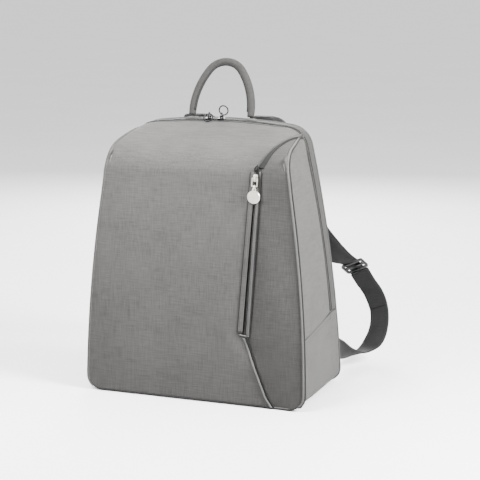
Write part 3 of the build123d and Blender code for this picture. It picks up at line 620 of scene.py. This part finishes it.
def front_panel(left, right, columns, raise_right=0.0, sink=0.0):
    """A panel between two edges, given as shares for each row."""
    grid, shares = [], []
    for row in range(FRONT_ROWS + ROLL_ROWS + ROOF_ROWS + 1):
        start, end = left(row), right(row)
        share = start + (end - start) * (0.5 - 0.5 * np.cos(np.pi * np.linspace(0, 1, columns))) ** 0.9
        grid.append(front_point(share, row))
        shares.append(share)
    grid, shares = np.array(grid), np.array(shares)
    z = grid[..., 2]
    from_left = lengths(grid, 1)
    from_right = from_left[:, -1:] - from_left
    out = swell(grid, shares) + raise_right * (0.2 + 0.8 * unit((78 - z) / 14.0)) * np.exp(-(from_right / 7.0) ** 2)
    if sink:
        dent = np.exp(-(from_left / 20.0) ** 2) * unit((312 - z) / 40)
        across = np.sin(np.pi * unit(from_left / (from_left + from_right + 0.01)))
        fold = np.sin(z / 31.0 + 0.6 * np.sin(grid[..., 0] / 17.0)) * across
        out -= sink * dent + 0.9 * fold * unit((300 - z) / 40)
    grid = puff(grid + normals_of(grid, (0, 0, 150)) * out[..., None])
    return grid, normals_of(grid, (0, 0, 150))


def slot_half(z):
    """Half of the pocket zip's slot, which the panels leave free."""
    return 5.0 * unit((z - 88.5) / 1.5) * unit((300.0 - z) / 1.5)


def seam_share(row, side):
    """Share of a panel's edge beside the seam, on its left (-1) or right (1)."""
    z = float(front_point(0.8, row)[2])
    return (seam_x(z) + side * (slot_half(z) + 0.35)) / float(front_point(1.0, row)[0])


def bends(piece):
    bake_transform(piece)
    return piece


main_grid, main_normal = front_panel(lambda row: -1.0, lambda row: seam_share(row, -1), 96, raise_right=1.4)
main_panel = slab("main_panel", main_grid, CLOTH, normal=main_normal)
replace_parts(bends(main_panel), "front_main_panel", "lower_main_panel")

pocket_grid, pocket_normal = front_panel(lambda row: seam_share(row, 1), lambda row: 1.0, 46, sink=2.2)
# The pocket panel wears the outer cloth darkened as painted shade, on top of its real recess.
pocket_panel = slab("pocket_panel", pocket_grid, CLOTH, material="pocket_cloth_painted_shade",
                    normal=pocket_normal)
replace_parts(bends(pocket_panel), "front_pocket_panel", "lower_pocket_panel")


# ---------------- sides, rim, base and back
SIDE_TOP = SHOULDER_Z - 2.2         # height of the side's front edge
SIDE_START = 0.008                  # share of the side's depth left free beside the front's piping
SIDE_DEPTH = 82.0


def side_edges(side, s):
    """Front and zip ends of a line across the side panel, s from 0 at the floor to 1 at the top."""
    front_z = s * SIDE_TOP
    front_x = corner_cut(arc_x(front_arc, front_z), front_z)
    front_x = np.where(front_z > 290, front_x - 2.4 * ((front_z - 290) / 21.3) ** 2, front_x)
    z_line = s * seam_top[1]
    order = half_line[half_line[:, 1] <= seam_top[1] + 0.01]
    zip_x = np.interp(z_line, order[:, 1], order[:, 0])
    return at(side * front_x, front_y(front_z), front_z), at(side * zip_x, zip_y(z_line), z_line)


def side_grid(side, low, high, rows, columns, bulge, seed, to_back=False):
    """The side's outer face; low and high are shares of its height, at the front and at the zip."""
    grid = []
    for t in np.linspace(0, 1, rows):
        front, _ = side_edges(side, low[0] + (high[0] - low[0]) * t)
        _, rear = side_edges(side, low[1] + (high[1] - low[1]) * t)
        line = front + (rear - front) * np.linspace(SIDE_START, 1, columns)[:, None]
        if to_back:
            line = np.vstack([line, rear + at(0, np.linspace(0, GUSSET, 7)[1:], 0)])
        grid.append(line)
    grid = np.array(grid)
    normal = normals_of(grid, (0, grid[..., 1].mean(), grid[..., 2].mean()))
    across = np.sin(np.pi * (grid[..., 1] - grid[..., 1].min()) / np.ptp(grid[..., 1]))
    out = bulge * across * np.sin(np.pi * unit(grid[..., 2] / 300.0)) + wander(seed, grid, 110, 0.8) * across
    return puff(grid + normal * out[..., None]), normal


fold_front = HINGE_Z / SIDE_TOP
fold_rear_z = fold_z(zip_y(100.0))
fold_rear = fold_rear_z / seam_top[1]
for name, side in LEFT_RIGHT:
    grid, normal = side_grid(side, (fold_front, fold_rear), (1.0, 1.0), 74, 44, bulge=2.4, seed=5 + side)
    keep = int(round(grid.shape[1] * (1 - ZIP_HALF / SIDE_DEPTH)))
    panel = slab(f"side_panel_{name}_cloth", grid[:, :keep], CLOTH, normal=normal[:, :keep])
    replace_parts(bends(panel), f"side_panel_{name}")
    grid, normal = side_grid(side, (0.006, 0.006), (fold_front * 0.995, fold_rear * 0.995), 34, 40,
                             to_back=True, bulge=1.6, seed=9 + side)
    pocket = slab(f"slip_pocket_{name}", grid, 1.2, normal=normal)
    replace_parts(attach(pocket, "bag_body"), f"side_pocket_{name}")
    wall = slab(f"slip_wall_{name}", grid - normal * 1.35, 1.0, "lining_cloth", normal=normal)
    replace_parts(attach(wall, "bag_body"), f"lower_side_{name}")
    top_edge = grid[-1] + normal[-1] * 0.1
    hem = sweep(f"slip_hem_{name}", even(top_edge, 3.0), circle(0.75, 10), up=(side, 0, 0),
                material="seam_shade")
    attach(hem, "bag_body")
    hem_stitch = stitches(f"slip_stitch_{name}", grid[-3] + normal[-3] * 0.1, (side, 0, 0))
    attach(hem_stitch, "bag_body")


def round_line(inset=0.0, from_fold=True, count=220):
    """The zip line from left to right over the crown, starting at the fold or at the floor: x and z,
    with its outward direction."""
    start = fold_rear_z + 0.4 if from_fold else 0.5
    right = half_line[half_line[:, 1] >= start]
    right = np.vstack([[np.interp(start, half_line[:, 1], half_line[:, 0]), start], right])
    line = np.vstack([right * [-1, 1], right[::-1][1:]])
    along = run(line)
    wanted = np.linspace(0, along[-1], count)
    line = np.stack([np.interp(wanted, along, line[:, k]) for k in (0, 1)], 1)
    tangent = directions(np.gradient(line, axis=0))
    outward = np.stack([-tangent[:, 1], tangent[:, 0]], 1)
    return line - outward * inset, outward


def on_zip(line, y, drop=0.0):
    """Points y behind the zip's plane, and lower by the drop."""
    return at(line[:, 0], zip_y(line[:, 1]) + y, line[:, 1] - drop)


def rim_grid(inset, steps):
    line, outward = round_line(inset)
    return np.array([on_zip(line, y) for y in steps]), at(outward[:, 0], 0, outward[:, 1])


grid, normal = rim_grid(0.0, np.linspace(ZIP_HALF, GUSSET, 9))
crown = np.sin(np.linspace(0, np.pi, 9))[:, None, None] * 0.9
rim = slab("rear_rim", grid + normal * crown, CLOTH, material="rim_cloth", normal=normal)
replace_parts(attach(rim, "bag_body"), "rear_gusset")
grid, normal = rim_grid(CLOTH + 0.1, np.linspace(ZIP_HALF, GUSSET - 7.6, 5))
rim_lining = slab("rim_lining", grid, LINING, "lining_cloth", normal=normal)
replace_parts(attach(rim_lining, "bag_body"), "gusset_lining")


def filled_outline(y, inset):
    """Closed rings shrinking from the bag's outline to its middle, y behind the zip's plane."""
    line, _ = round_line(inset, False, 260)
    foot = np.linspace(line[-1, 0], line[0, 0], 60)[1:-1]
    loop = np.vstack([line, np.stack([foot, np.full(58, 0.6 + inset)], 1), line[:1]])
    centre = np.array([0.0, 165.0])
    return np.array([on_zip(centre + (loop - centre) * share, y) for share in np.linspace(1, 0.0005, 26)])


# The padded back: outer mesh over foam, swollen between two upright sewn channels and a level one.
CHANNEL_X, CHANNEL_Z = 38, 120
pad_rows = filled_outline(GUSSET, 0.0)
x, z = pad_rows[..., 0], pad_rows[..., 2]
share = np.linspace(1, 0.02, len(pad_rows))[:, None]
edge_drop = unit((1 - share) / 0.12) ** 0.5
channel = np.exp(-((np.abs(x) - CHANNEL_X) / 4.0) ** 2) + np.exp(-((z - CHANNEL_Z) / 4.5) ** 2)
puffy = edge_drop * 6.0 * (1 - 0.75 * unit(channel)) + wander(21, pad_rows, 90, 0.5) * edge_drop
back_pad = slab("back_pad", pad_rows + at(0, puffy, 0), 4.0, normal=(0, 1, 0))
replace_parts(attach(back_pad, "bag_body"), "back_panel", "back_foam")
rows = filled_outline(GUSSET - 7.4, CLOTH)
rows = rows - at(0, 0.2 + np.abs(wander(23, rows, 120, 0.5)), 0)
back_lining = slab("back_inside", rows, LINING, "lining_cloth", normal=(0, -1, 0))
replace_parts(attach(back_lining, "bag_body"), "back_lining")
for name, side in LEFT_RIGHT:
    z = np.linspace(14, 330, 90)
    path = at(side * CHANNEL_X, zip_y(z) + GUSSET + 1.9, z)
    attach(stitches(f"back_channel_{name}", path, (0, 1, 0)), "bag_body")

edge_path = on_zip(round_line(-0.2, False, 260)[0], GUSSET)
back_piping = sweep("back_piping", even(edge_path, 3.0), circle(1.3, 10), "piping", up=(0, 1, 0),
                    material="outer_cloth")
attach(back_piping, "bag_body")

# Base, flat in the middle and curling up a little at its sides.
FLAT, BASE_HALF, CURL, BASE_Z = 0.88, 129.0, 19.0, 0.15
x = np.linspace(-1, 1, 60)
turn = (np.abs(x) - FLAT) / 0.12 * np.pi / 2.2
base_x = np.where(np.abs(x) < FLAT, x / FLAT * BASE_HALF, np.sign(x) * (BASE_HALF + CURL * np.sin(turn)))
base_z = np.where(np.abs(x) < FLAT, BASE_Z, BASE_Z + CURL * (1 - np.cos(turn)) * 0.12)
base_rows = [at(np.clip(base_x, -131, 131), y, base_z) for y in np.linspace(FRONT_Y + 0.6, BACK_Y - 0.4, 34)]
base = slab("base_cloth", np.array(base_rows), CLOTH, centre=(0, 0, 400))
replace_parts(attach(base, "bag_body"), "base_panel")

# ---------------- linings that show when the front is open
lining_rows = range(3, FRONT_ROWS + ROLL_ROWS + ROOF_ROWS, 2)
grid = np.array([front_point(np.linspace(-0.985, 0.985, 60), row) for row in lining_rows])
normal = normals_of(grid, (0, 0, 150))
loose = (CLOTH + 0.4 + np.abs(wander(31, grid, 90, 0.6)))[..., None]
lining = slab("front_lining_cloth", grid - normal * loose, LINING, "lining_cloth", normal=normal)
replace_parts(bends(lining), "front_lining", "lower_lining")
for name, side in LEFT_RIGHT:
    grid, normal = side_grid(side, (0.015, 0.015), (0.985, 0.985), 60, 24, bulge=0.5, seed=41 + side)
    inner = grid - normal * (CLOTH + 1.2)
    lining = slab(f"side_lining_{name}", inner[:, :22], LINING, "lining_cloth", normal=normal[:, :22])
    bends(lining)


def flat_pocket(name, node, body, wall_y, lean, slot, folds, gather, seed, face=-1):
    """A flat cloth pocket on a wall, built from its CAD box, with gathers along its top."""
    x, z = box_grid(node, (0, 2), (0.4, 0.3), (80, 24))
    share = (z - z.min()) / np.ptp(z)
    wave = gather * (0.5 + 0.5 * np.sin((x + seed) / folds * 2 * np.pi)) * share * inside(x, 0.05)
    pocket = slab(name, at(x, wall_y + lean * z + face * (0.3 + wave), z), 0.9, slot, normal=(0, face, 0))
    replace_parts(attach(pocket, body), node)


back_wall, front_wall = BACK_Y - 7.4 - LINING - 1.9, FRONT_Y + CLOTH + LINING + 1.6
flat_pocket("organiser_cloth", "organiser_pocket", "bag_body", back_wall, BACK_LEAN, "lining_cloth", 21, 1.3, 3)
flat_pocket("organiser_band", "organiser_elastic", "bag_body", back_wall, BACK_LEAN, "elastic", 7, 0.9, 5)
flat_pocket("pouch_cloth", "pocket_pouch", "opening_front", front_wall, FRONT_LEAN, "lining_cloth", 60, 0.6, 8, 1)


# ---------------- main zip
ZIP_DROP = 0.42                     # how much the zip's front half falls with the roof
TAPE_STEPS = np.linspace(0.7, ZIP_HALF + 0.5, 4)
ZIP_HALVES = (("back", "rear", 1), ("front", "front", -1))
grid, normal = rim_grid(0.3, TAPE_STEPS)
tape = slab("zip_tape_back", grid, 1.0, "zip_tape", material="grey_tape", normal=normal)
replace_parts(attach(tape, "bag_body"), "main_zip_tape_rear")
line, outward = round_line(0.3)
upward = unit(outward[:, 1])
grid = np.array([on_zip(line, -y, y * upward * ZIP_DROP) for y in TAPE_STEPS])
normal = directions(at(outward[:, 0], -0.35 * upward, outward[:, 1]))
tape = slab("zip_tape_front", grid, 1.0, "zip_tape", material="grey_tape", normal=normal)
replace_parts(bends(tape), "main_zip_tape_front")

line, outward = round_line(-0.1)
for name, node, side in ZIP_HALVES:
    places = even(on_zip(line, side * 0.62), 1.5)
    tangent, _, _ = frames_along(places, (0, 1, 0))
    teeth = scatter(f"zip_teeth_{name}", places, (0, 1, 0), tangent, (0.55, 0.55, 0.75), "zip_coil")
    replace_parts(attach(teeth, "bag_body") if side > 0 else bends(teeth), f"main_zip_coil_{node}")
# Near-black cords along both tapes, painted as the shade in the seams where the tapes meet the panels.
for name, _, side in ZIP_HALVES:
    reach = ZIP_HALF + 0.3
    drop = 0.0 if side > 0 else reach * unit(outward[:, 1]) * ZIP_DROP
    seam = sweep(f"zip_seam_shade_{name}", even(on_zip(line, side * reach, drop), 2.5), circle(0.55, 8),
                 up=(0, 1, 0), material="seam_shade")
    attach(seam, "bag_body") if side > 0 else bends(seam)

y, z = box_grid("zip_end_tabs", (1, 2), (0.5, 0.3), (12, 10))
for name, side in LEFT_RIGHT:
    x = side * (np.interp(z, half_line[:60, 1], half_line[:60, 0]) + 1.15)
    tab = slab(f"zip_end_tab_{name}", at(x, y, z), 1.0, normal=(side, 0, 0))
    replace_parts(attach(tab, "bag_body"), "zip_end_tabs")


# ---------------- piping of the front, and dark cords painted as the shade beside it
FRONT_EDGES = (("left", -1, main_grid, main_normal, 0), ("right", 1, pocket_grid, pocket_normal, -1))
for name, side, grid, normal, column in FRONT_EDGES:
    edge, out = grid[1:, column], normal[1:, column]
    # The right piping takes the lighter piping colour as a painted highlight; the left keeps the cloth's colour.
    cord = sweep(f"front_edge_piping_{name}", even(edge + out * 0.4 + (side * 0.7, 0, 0), 3.0), circle(1.4, 12),
                 "piping", material="outer_cloth" if side < 0 else "piping")
    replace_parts(bends(cord), f"front_piping_{name}")
    # A near-black cord outside each piping, painted as the shade where the side panel starts.
    bends(sweep(f"front_edge_seam_shade_{name}", even(edge - out * 0.5 + (side * 2.2, 0.9, 0), 3.0), circle(1.5, 8),
                material="seam_shade"))
CORD_Y, CORD_Z, CORD_CURL = FRONT_Y - 0.1, 0.9, 18.4
curl = np.linspace(0, np.pi / 2.4, 12)[1:]
bend = at(BASE_HALF + CORD_CURL * np.sin(curl), CORD_Y, CORD_Z + CORD_CURL * (1 - np.cos(curl)))
straight = at(np.linspace(-1, 1, 120) * BASE_HALF, CORD_Y, CORD_Z)
bottom = np.vstack([bend[::-1] * [-1, 1, 1], straight, bend])
bottom_cord = sweep("bottom_edge_piping", even(bottom, 3.0), circle(0.85, 10), "piping", material="seam_shade")
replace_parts(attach(bottom_cord, "bag_body"), "bottom_piping")

# Main panel's folded, topstitched edge, lighter as a painted highlight, and dark cords painted as the gap's shadow,
# wider near the pocket zip.
fold_path = even(main_grid[:, -1] - main_normal[:, -1] * 0.4, 2.5)
bends(sweep("main_fold_edge_highlight", fold_path[fold_path[:, 2] < 87], circle(1.3, 10), "piping"))
bends(stitches("main_fold_stitch", even(main_grid[:, -9] + main_normal[:, -9] * 0.1, 2.5), FORWARD))
seam_shadow_path = even(pocket_grid[:, 0] + pocket_normal[:, 0], 2.5)
seam_shadow_path = seam_shadow_path[slot_half(seam_shadow_path[:, 2]) < 0.1]
low, high = seam_shadow_path[seam_shadow_path[:, 2] < 150], seam_shadow_path[seam_shadow_path[:, 2] > 150]
near_zip = np.exp(-(low[:, 2] - 88) ** 2 / 900.0)
bends(sweep("seam_shadow_low", low + (2.3, -1.0, 0), circle(1.15, 8, 0.7), material="fold_painted_shadow",
            scale=0.95 + 0.7 * near_zip))
near_zip = np.exp(-(high[:, 2] - 300) ** 2 / 900.0)
bends(sweep("seam_shadow_high", high + at(0.2 + 2.2 * near_zip, 0, 0), circle(1.15, 8, 0.7),
            material="seam_shade", scale=0.62 + 2.3 * near_zip))

# ---------------- pocket zip
zip_low = np.array([69.0, front_y(91.5), 91.5])
zip_high = np.array([81.5, front_y(297.0), 297.0])
zip_length = norm(zip_high - zip_low)
zip_along = (zip_high - zip_low) / zip_length
zip_out = np.array([0, -1, FRONT_LEAN]) / math.hypot(1, FRONT_LEAN)
zip_across = np.cross(zip_along, zip_out)


def zip_frame(across, along, out):
    return zip_low + zip_across * across + zip_along * along + zip_out * out


def zip_path(across, start, end, out, count=70):
    return np.array([zip_frame(across, s, out) for s in np.linspace(start, end, count)])


def front_cord(name, path, radius, material=None, count=8, squash=1.0, scale=None):
    """A cord beside the pocket zip; the thin light and dark ones are painted highlight and shade."""
    cord = sweep(name, path, circle(radius, count, squash), "piping", material=material, scale=scale)
    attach(cord, "opening_front")


for name, side in LEFT_RIGHT:
    grid = np.array([zip_path(side * across, -1.5, zip_length + 1.5, -1.5 + 0.07 * across)
                     for across in np.linspace(0.9, 5.3, 6)])
    tape = slab(f"pocket_tape_{name}", grid, 0.8, "zip_tape", normal=zip_out)
    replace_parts(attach(tape, "opening_front"), f"pocket_zip_tape_{name}")
places = even(zip_path(0, 2.5, zip_length - 2.5, -1.35), 1.35)
teeth = scatter("pocket_teeth", places, zip_across, zip_along, (1.3, 0.5, 0.5), "zip_coil")
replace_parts(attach(teeth, "opening_front"), "pocket_zip_coil")

# The band of cloth left of the teeth, from the main panel over the slot's edge.
BAND_LEFT, BAND_RIGHT, SLOT_EDGE, BAND_COLUMNS = -9.2, -3.1, -5.35, 14
from_edge = lengths(main_grid, 1)[:, -1:] - lengths(main_grid, 1)
band, band_normal = [], []
for row in range(len(main_grid)):
    if not 90.0 < main_grid[row, -1, 2] < 298.5:
        continue
    line = []
    for across in np.linspace(BAND_LEFT, BAND_RIGHT, BAND_COLUMNS):
        reach_in = max(0.0, SLOT_EDGE - across)
        point = np.array([np.interp(reach_in, from_edge[row, ::-1], main_grid[row, ::-1, k]) for k in range(3)])
        point = point + zip_across * max(0.0, across - SLOT_EDGE)
        share = (across - BAND_LEFT) / (BAND_RIGHT - BAND_LEFT)
        rounding = math.sin(math.pi * share) ** 0.5 if 0 < share < 1 else 0.0
        line.append(point + main_normal[row, -1] * (0.2 + 1.3 * rounding))
    band.append(line)
    band_normal.append(np.broadcast_to(main_normal[row, -1], (BAND_COLUMNS, 3)))
band, band_normal = np.array(band), np.array(band_normal)
welt = slab("welt_band", band, 1.0, "piping", normal=band_normal, material="outer_cloth")
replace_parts(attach(welt, "opening_front"), "pocket_welt")
# A thin light cord on the welt's edge, a painted highlight, and a dark one on its seam, painted shade.
front_cord("welt_edge_highlight_left", even(band[:, -1] + band_normal[:, -1] * 0.5, 2.5), 0.6)
front_cord("welt_seam_shade_left", even(band[:, 0] + band_normal[:, 0] * 0.2, 2.5), 0.75, "seam_shade")
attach(stitches("welt_stitch", even(band[:, 3] + band_normal[:, 3] * 0.1, 2.5), FORWARD, "piping"), "opening_front")

# The roll right of the teeth, bowed outwards along its length.
bow = np.sin(np.linspace(0, np.pi, 70))[:, None] * zip_out * 1.3
front_cord("welt_roll_right", zip_path(4.6, -1.5, zip_length + 0.6, 0.5) + bow, 1.6, "outer_cloth", 14, 0.9)
# Painted highlight along the roll's inner edge, and painted shade along its outer seam.
front_cord("welt_edge_highlight_right", zip_path(3.2, -0.5, zip_length + 0.5, 1.1) + bow, 0.6)
front_cord("welt_seam_shade_right", zip_path(6.5, -0.5, zip_length + 0.5, 0.3) + bow, 0.75, "seam_shade")

# Near-black cords painted as the shadow in the folds round the slider: across, along from the zip's top, and out.
FOLD_SHADOWS = (("right", 1.25, [(1.0, 9, 0.8), (3.4, 1, 1.6), (5.0, -9, 1.7), (5.6, -24, 1.2), (5.8, -40, 0.8)]),
         ("left", 1.1, [(0.6, 8, 0.9), (-1.6, 4, 1.0), (-1.6, -1, 0.8)]))
for name, radius, line in FOLD_SHADOWS:
    points = np.array([zip_frame(a, zip_length + b, c) for a, b, c in smooth_path(line, 30)])
    ease = 0.35 + 0.65 * np.sin(np.pi * np.linspace(0.05, 0.95, 30))
    front_cord(f"slider_fold_shadow_{name}", points, radius, "fold_painted_shadow", scale=ease)
# The welt's rounded foot under the zip, a real lip, given the lighter piping colour as a painted highlight.
foot = np.array([zip_frame(across, -1.0 - 0.6 * math.cos(across / 5.8 * math.pi / 2), 0.8)
                 for across in np.linspace(-6.2, 6.2, 14)])
front_cord("welt_foot_highlight", foot, 1.15, count=12)

# ---------------- carry handle
HALF, LEG, RISE, TOP, THICK = 40.5, 2.0, 66.0, 28.0, 5.0   # half width, legs, height, top's and roll's radius
HANDLE_LEAN = math.radians(16)
fold_joint = next(joint for joint in frame["joints"] if joint["name"] == "carry_handle_folds")
pivot = np.array(fold_joint["pos_m"]) / MM
rise = RISE - TOP
arc_radius = (HALF ** 2 + rise ** 2 - TOP ** 2) / (2 * (HALF - TOP))
arc_middle = HALF - arc_radius
profile = [(HALF, -4.6), (HALF, -1.0), (HALF, LEG)]
profile += [(arc_middle + arc_radius * math.cos(t), LEG + arc_radius * math.sin(t))
            for t in np.linspace(0, math.atan2(rise, -arc_middle), 26)[1:]]
begin = math.atan2(profile[-1][1] - (LEG + rise), profile[-1][0])
profile += [(TOP * math.cos(t), LEG + rise + TOP * math.sin(t)) for t in np.linspace(begin, math.pi / 2, 16)[1:]]
profile = np.array(profile)
profile = np.vstack([profile, profile[::-1][1:] * [-1, 1]])
handle_path = even(at(profile[:, 0], pivot[1] + profile[:, 1] * math.sin(HANDLE_LEAN),
                      pivot[2] + profile[:, 1] * math.cos(HANDLE_LEAN)), 2.0)
from_start = np.arange(len(handle_path))
taper = 0.9 + 0.1 * unit(np.minimum(from_start, from_start[::-1]) / 6)
handle = sweep("handle_roll", handle_path, circle(THICK, 24), scale=taper, material="handle_cloth")
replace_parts(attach(handle, "handle"), "carry_handle")
_, handle_side, handle_top = frames_along(handle_path, FORWARD)
inwards = np.sign(np.sum(handle_side * (pivot + (0, 8, 28) - handle_path), axis=1))[:, None]
# A near-black band along the handle's inner underside, painted as the shade there.
underside_shade_path = handle_path + handle_side * inwards * 3.6 + handle_top * 2.4
handle_underside_shade = sweep("handle_underside_shade", underside_shade_path[3:-3], circle(1.7, 12), material="seam_shade")
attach(handle_underside_shade, "handle")
PATCH_X, PATCH_Y = 8, 4.4           # half of each patch
for name, side in LEFT_RIGHT:
    x, y = np.meshgrid(np.linspace(-PATCH_X, PATCH_X, 18), np.linspace(-PATCH_Y, PATCH_Y, 12))
    rim_share = unit((np.maximum(np.abs(x) / PATCH_X, np.abs(y) / PATCH_Y) - 0.7) / 0.3)
    z = crown_z(side * HALF + x) + 2.9 - 2.2 * rim_share ** 2
    patch = slab(f"handle_patch_{name}", at(side * HALF + x, 20.5 + y, z), 1.6, centre=(0, 20, -500))
    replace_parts(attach(patch, "bag_body"), "handle_patches")

# ---------------- shoulder straps
# Centre, direction across, width and thickness, from the anchor down to the buckle.
PAD = [
    ((46, 44, 350), (1, 0, 0), 34, 7), ((46.5, 60, 349), (1, 0, 0), 37, 8), ((48, 84, 339), (1, 0, 0), 42, 8),
    ((51, 102, 319), (1, 0, 0), 42, 8), ((56, 114, 293), (1, 0, 0), 42, 8), ((63, 119, 266), (1, 0, 0.1), 42, 8),
    ((73, 118, 240), (1, 0, 0.25), 42, 8), ((86, 114, 216), (0.9, 0, 0.4), 40, 8),
    ((101, 111, 194), (0.85, 0, 0.5), 37, 7), ((118, 115, 174), (0.8, 0.1, 0.5), 33, 6),
    ((130, 129, 159), (0.87, 0.2, 0.3), 29, 5),
]
WEB_SIZE = (26.0, 1.8)
BUCKLE, BUCKLE_ACROSS = np.array([143.0, 155.0, 142.0]), (0.93, 0.36, 0.0)
BUCKLE_WAY = directions(np.array([19.0, 40.0, -33.0]))
BUCKLE_END = BUCKLE_WAY * 12.2
PAD.append((tuple(BUCKLE - BUCKLE_END), BUCKLE_ACROSS, 26, 3))
# Centre and direction across, from the buckle round to the tab at the bag's foot.
WEB = [
    (tuple(BUCKLE + BUCKLE_END), BUCKLE_ACROSS),
    ((151.5, 175, 121), (0.93, 0.37, 0)), ((158, 194, 101), (0.93, 0.37, 0)), ((163.5, 205, 79), (0.93, 0.37, 0)),
    ((165, 208, 56), (0.93, 0.35, 0)), ((162, 203, 35), (0.95, 0.25, 0)), ((155, 188, 21), (0.95, 0.1, 0.1)),
    ((146, 160, 17), (0.93, 0, 0.3)), ((140, 130, 24), (0.75, 0, 0.65)), ((137.5, 108, 35), (0.45, 0, 0.9)),
    ((138, 91.8, 42.5), (0.15, 0, 1)),
]


def strap_sections(rows, side, count):
    table = np.array([[*row[0], *row[1], *(row[2:] or WEB_SIZE)] for row in rows], float)
    table[:, [0, 3]] *= side
    table = smooth_path(table, count)
    centre, across, width, thick = table[:, :3], table[:, 3:6], table[:, 6], table[:, 7]
    tangent = directions(np.gradient(centre, axis=0))
    across = directions(across - tangent * np.sum(across * tangent, axis=1, keepdims=True))
    return centre, across, np.cross(tangent, across) * side, width, thick


def strap(name, rows, side, slot, count, padded, lift=0.0):
    centre, across, normal, width, thick = strap_sections(rows, side, count)
    s = np.concatenate([np.linspace(-1, 1, 23), np.linspace(1, -1, 23)[1:-1]])
    face = np.concatenate([np.ones(23), -np.ones(21)])
    if padded:
        height = 0.30 + 0.70 * unit(1 - np.abs(s) ** 5) ** 0.5
        height = height * (1 - 0.42 * np.exp(-((np.abs(s) - 0.80) / 0.05) ** 2))
    else:
        height = 0.55 + 0.45 * unit(1 - np.abs(s) ** 12)
    rings = (centre[:, None] + across[:, None] * (s[None, :, None] * width[:, None, None] / 2)
             + normal[:, None] * ((face * height)[None, :, None] * thick[:, None, None] / 2 + lift))
    total = len(s)
    faces = [(a, d, c, b) for a, b, c, d in tube_faces(count, total)]
    faces += [tuple(reversed(range(total))), tuple((count - 1) * total + j for j in range(total))]
    if side < 0:
        faces = [face_[::-1] for face_ in faces]
    around, along = np.broadcast_arrays(s * 13 + face * 40, run(centre)[:, None])
    uvs = np.stack([around, along], 2)
    return build(name, rings.reshape(-1, 3), faces, uvs.reshape(-1, 2), slot), (centre, across, normal, width, thick)


for name, side in LEFT_RIGHT:
    body = f"strap_{name}"
    pad, (centre, across, normal, width, thick) = strap(f"strap_pad_{name}", PAD, side, "strap_cloth", 150, True)
    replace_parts(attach(pad, body), f"shoulder_strap_{name}")
    for edge, sign in (("in", -1), ("out", 1)):
        for face, turn in (("top", 1), ("under", -1)):
            path = centre + across * (sign * width * 0.40)[:, None] + normal * (turn * thick * 0.30)[:, None]
            row = stitches(f"pad_stitch_{name}_{edge}_{face}", path[2:-2], normal[60] * turn, "strap_cloth",
                           "dark_thread", 4.0, 1.3, 0.1)
            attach(row, body)
    web, (centre, across, normal, width, thick) = strap(f"webbing_{name}", WEB, side, "webbing", 130, False)
    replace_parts(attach(web, body), f"strap_webbing_{name}")
    for edge, sign in (("in", -1), ("out", 1)):
        for face, turn in (("top", 1), ("under", -1)):
            path = centre + across * (sign * width * 0.42)[:, None] + normal * (turn * thick * 0.5)[:, None]
            row = sweep(f"webbing_edge_{name}_{edge}_{face}", path[1:-1], circle(0.38, 6), "webbing", up=normal[1:-1],
                        material="dark_thread")
            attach(row, body)
    tail, _ = strap(f"webbing_end_{name}", WEB[:4], side, "webbing", 50, False, lift=3.0)
    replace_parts(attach(tail, body), f"strap_tail_{name}")

    # The webbing threaded over the buckle's bars: along and out.
    mirror = np.array([side, 1, 1])
    way, wide = BUCKLE_WAY * mirror, np.array(BUCKLE_ACROSS) * mirror
    out = np.cross(wide, way) * -side
    turns = [(-13.0, 0), (-9.0, 0.2), (-6.0, -2.4), (-3.5, 0.2), (0.0, 2.9), (3.5, 0.2), (6.0, -2.4), (9.0, 0.2),
             (13.0, 0)]
    loop = smooth_path([BUCKLE * mirror + way * a + out * b for a, b in turns], 40)
    flat = loop[:, None] + directions(wide) * (np.linspace(-1, 1, 15) * 12.4)[None, :, None]
    through = slab(f"webbing_through_{name}", flat, 1.3, "webbing", normal=directions(out))
    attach(through, body)

    x, z = box_grid(f"strap_anchor_{name}", (0, 2), (0.5, 1), (30, 16))
    y = BACK_Y + BACK_LEAN * z + 1.0 + 5.8 * inside(x, 0.18) ** 0.5 * inside(z, 0.25) ** 0.5
    anchor = slab(f"anchor_pad_{name}", at(x, y, z), 2.0, "strap_cloth", centre=(0, -500, 330))
    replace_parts(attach(anchor, "bag_body"), f"strap_anchor_{name}")

    # The tab narrows from where it is sewn in to where the webbing starts.
    sewn, tip = np.array([141.5, 73.9, 43.0]), np.array([138.0, 85.5, 43.0])
    rows = []
    for t in np.linspace(0, 1, 14):
        middle = sewn + (tip - sewn) * t
        half = 22 - 8 * t
        rows.append(at(side * (middle[0] + 1.3), middle[1], middle[2] + np.linspace(-half, half, 20)))
    tab = slab(f"strap_tab_cloth_{name}", np.array(rows), 2.4, centre=(0, 80, 43))
    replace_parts(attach(tab, "bag_body"), f"strap_tab_{name}")

# ---------------- floor
FLOOR_HALF, FLOOR_Z, FLOOR_STEPS = 22.0, -0.0006, 9
floor_mesh = bpy.data.meshes.new("floor")
steps = np.linspace(-FLOOR_HALF, FLOOR_HALF, FLOOR_STEPS)
floor_mesh.from_pydata([(x, y, FLOOR_Z) for y in steps for x in steps], [], grid_faces(FLOOR_STEPS, FLOOR_STEPS))
floor_mesh.materials.append(floor_material)
floor = place("floor", floor_mesh)
floor.visible_diffuse = False    # keeps the white floor from lighting the bag's underside
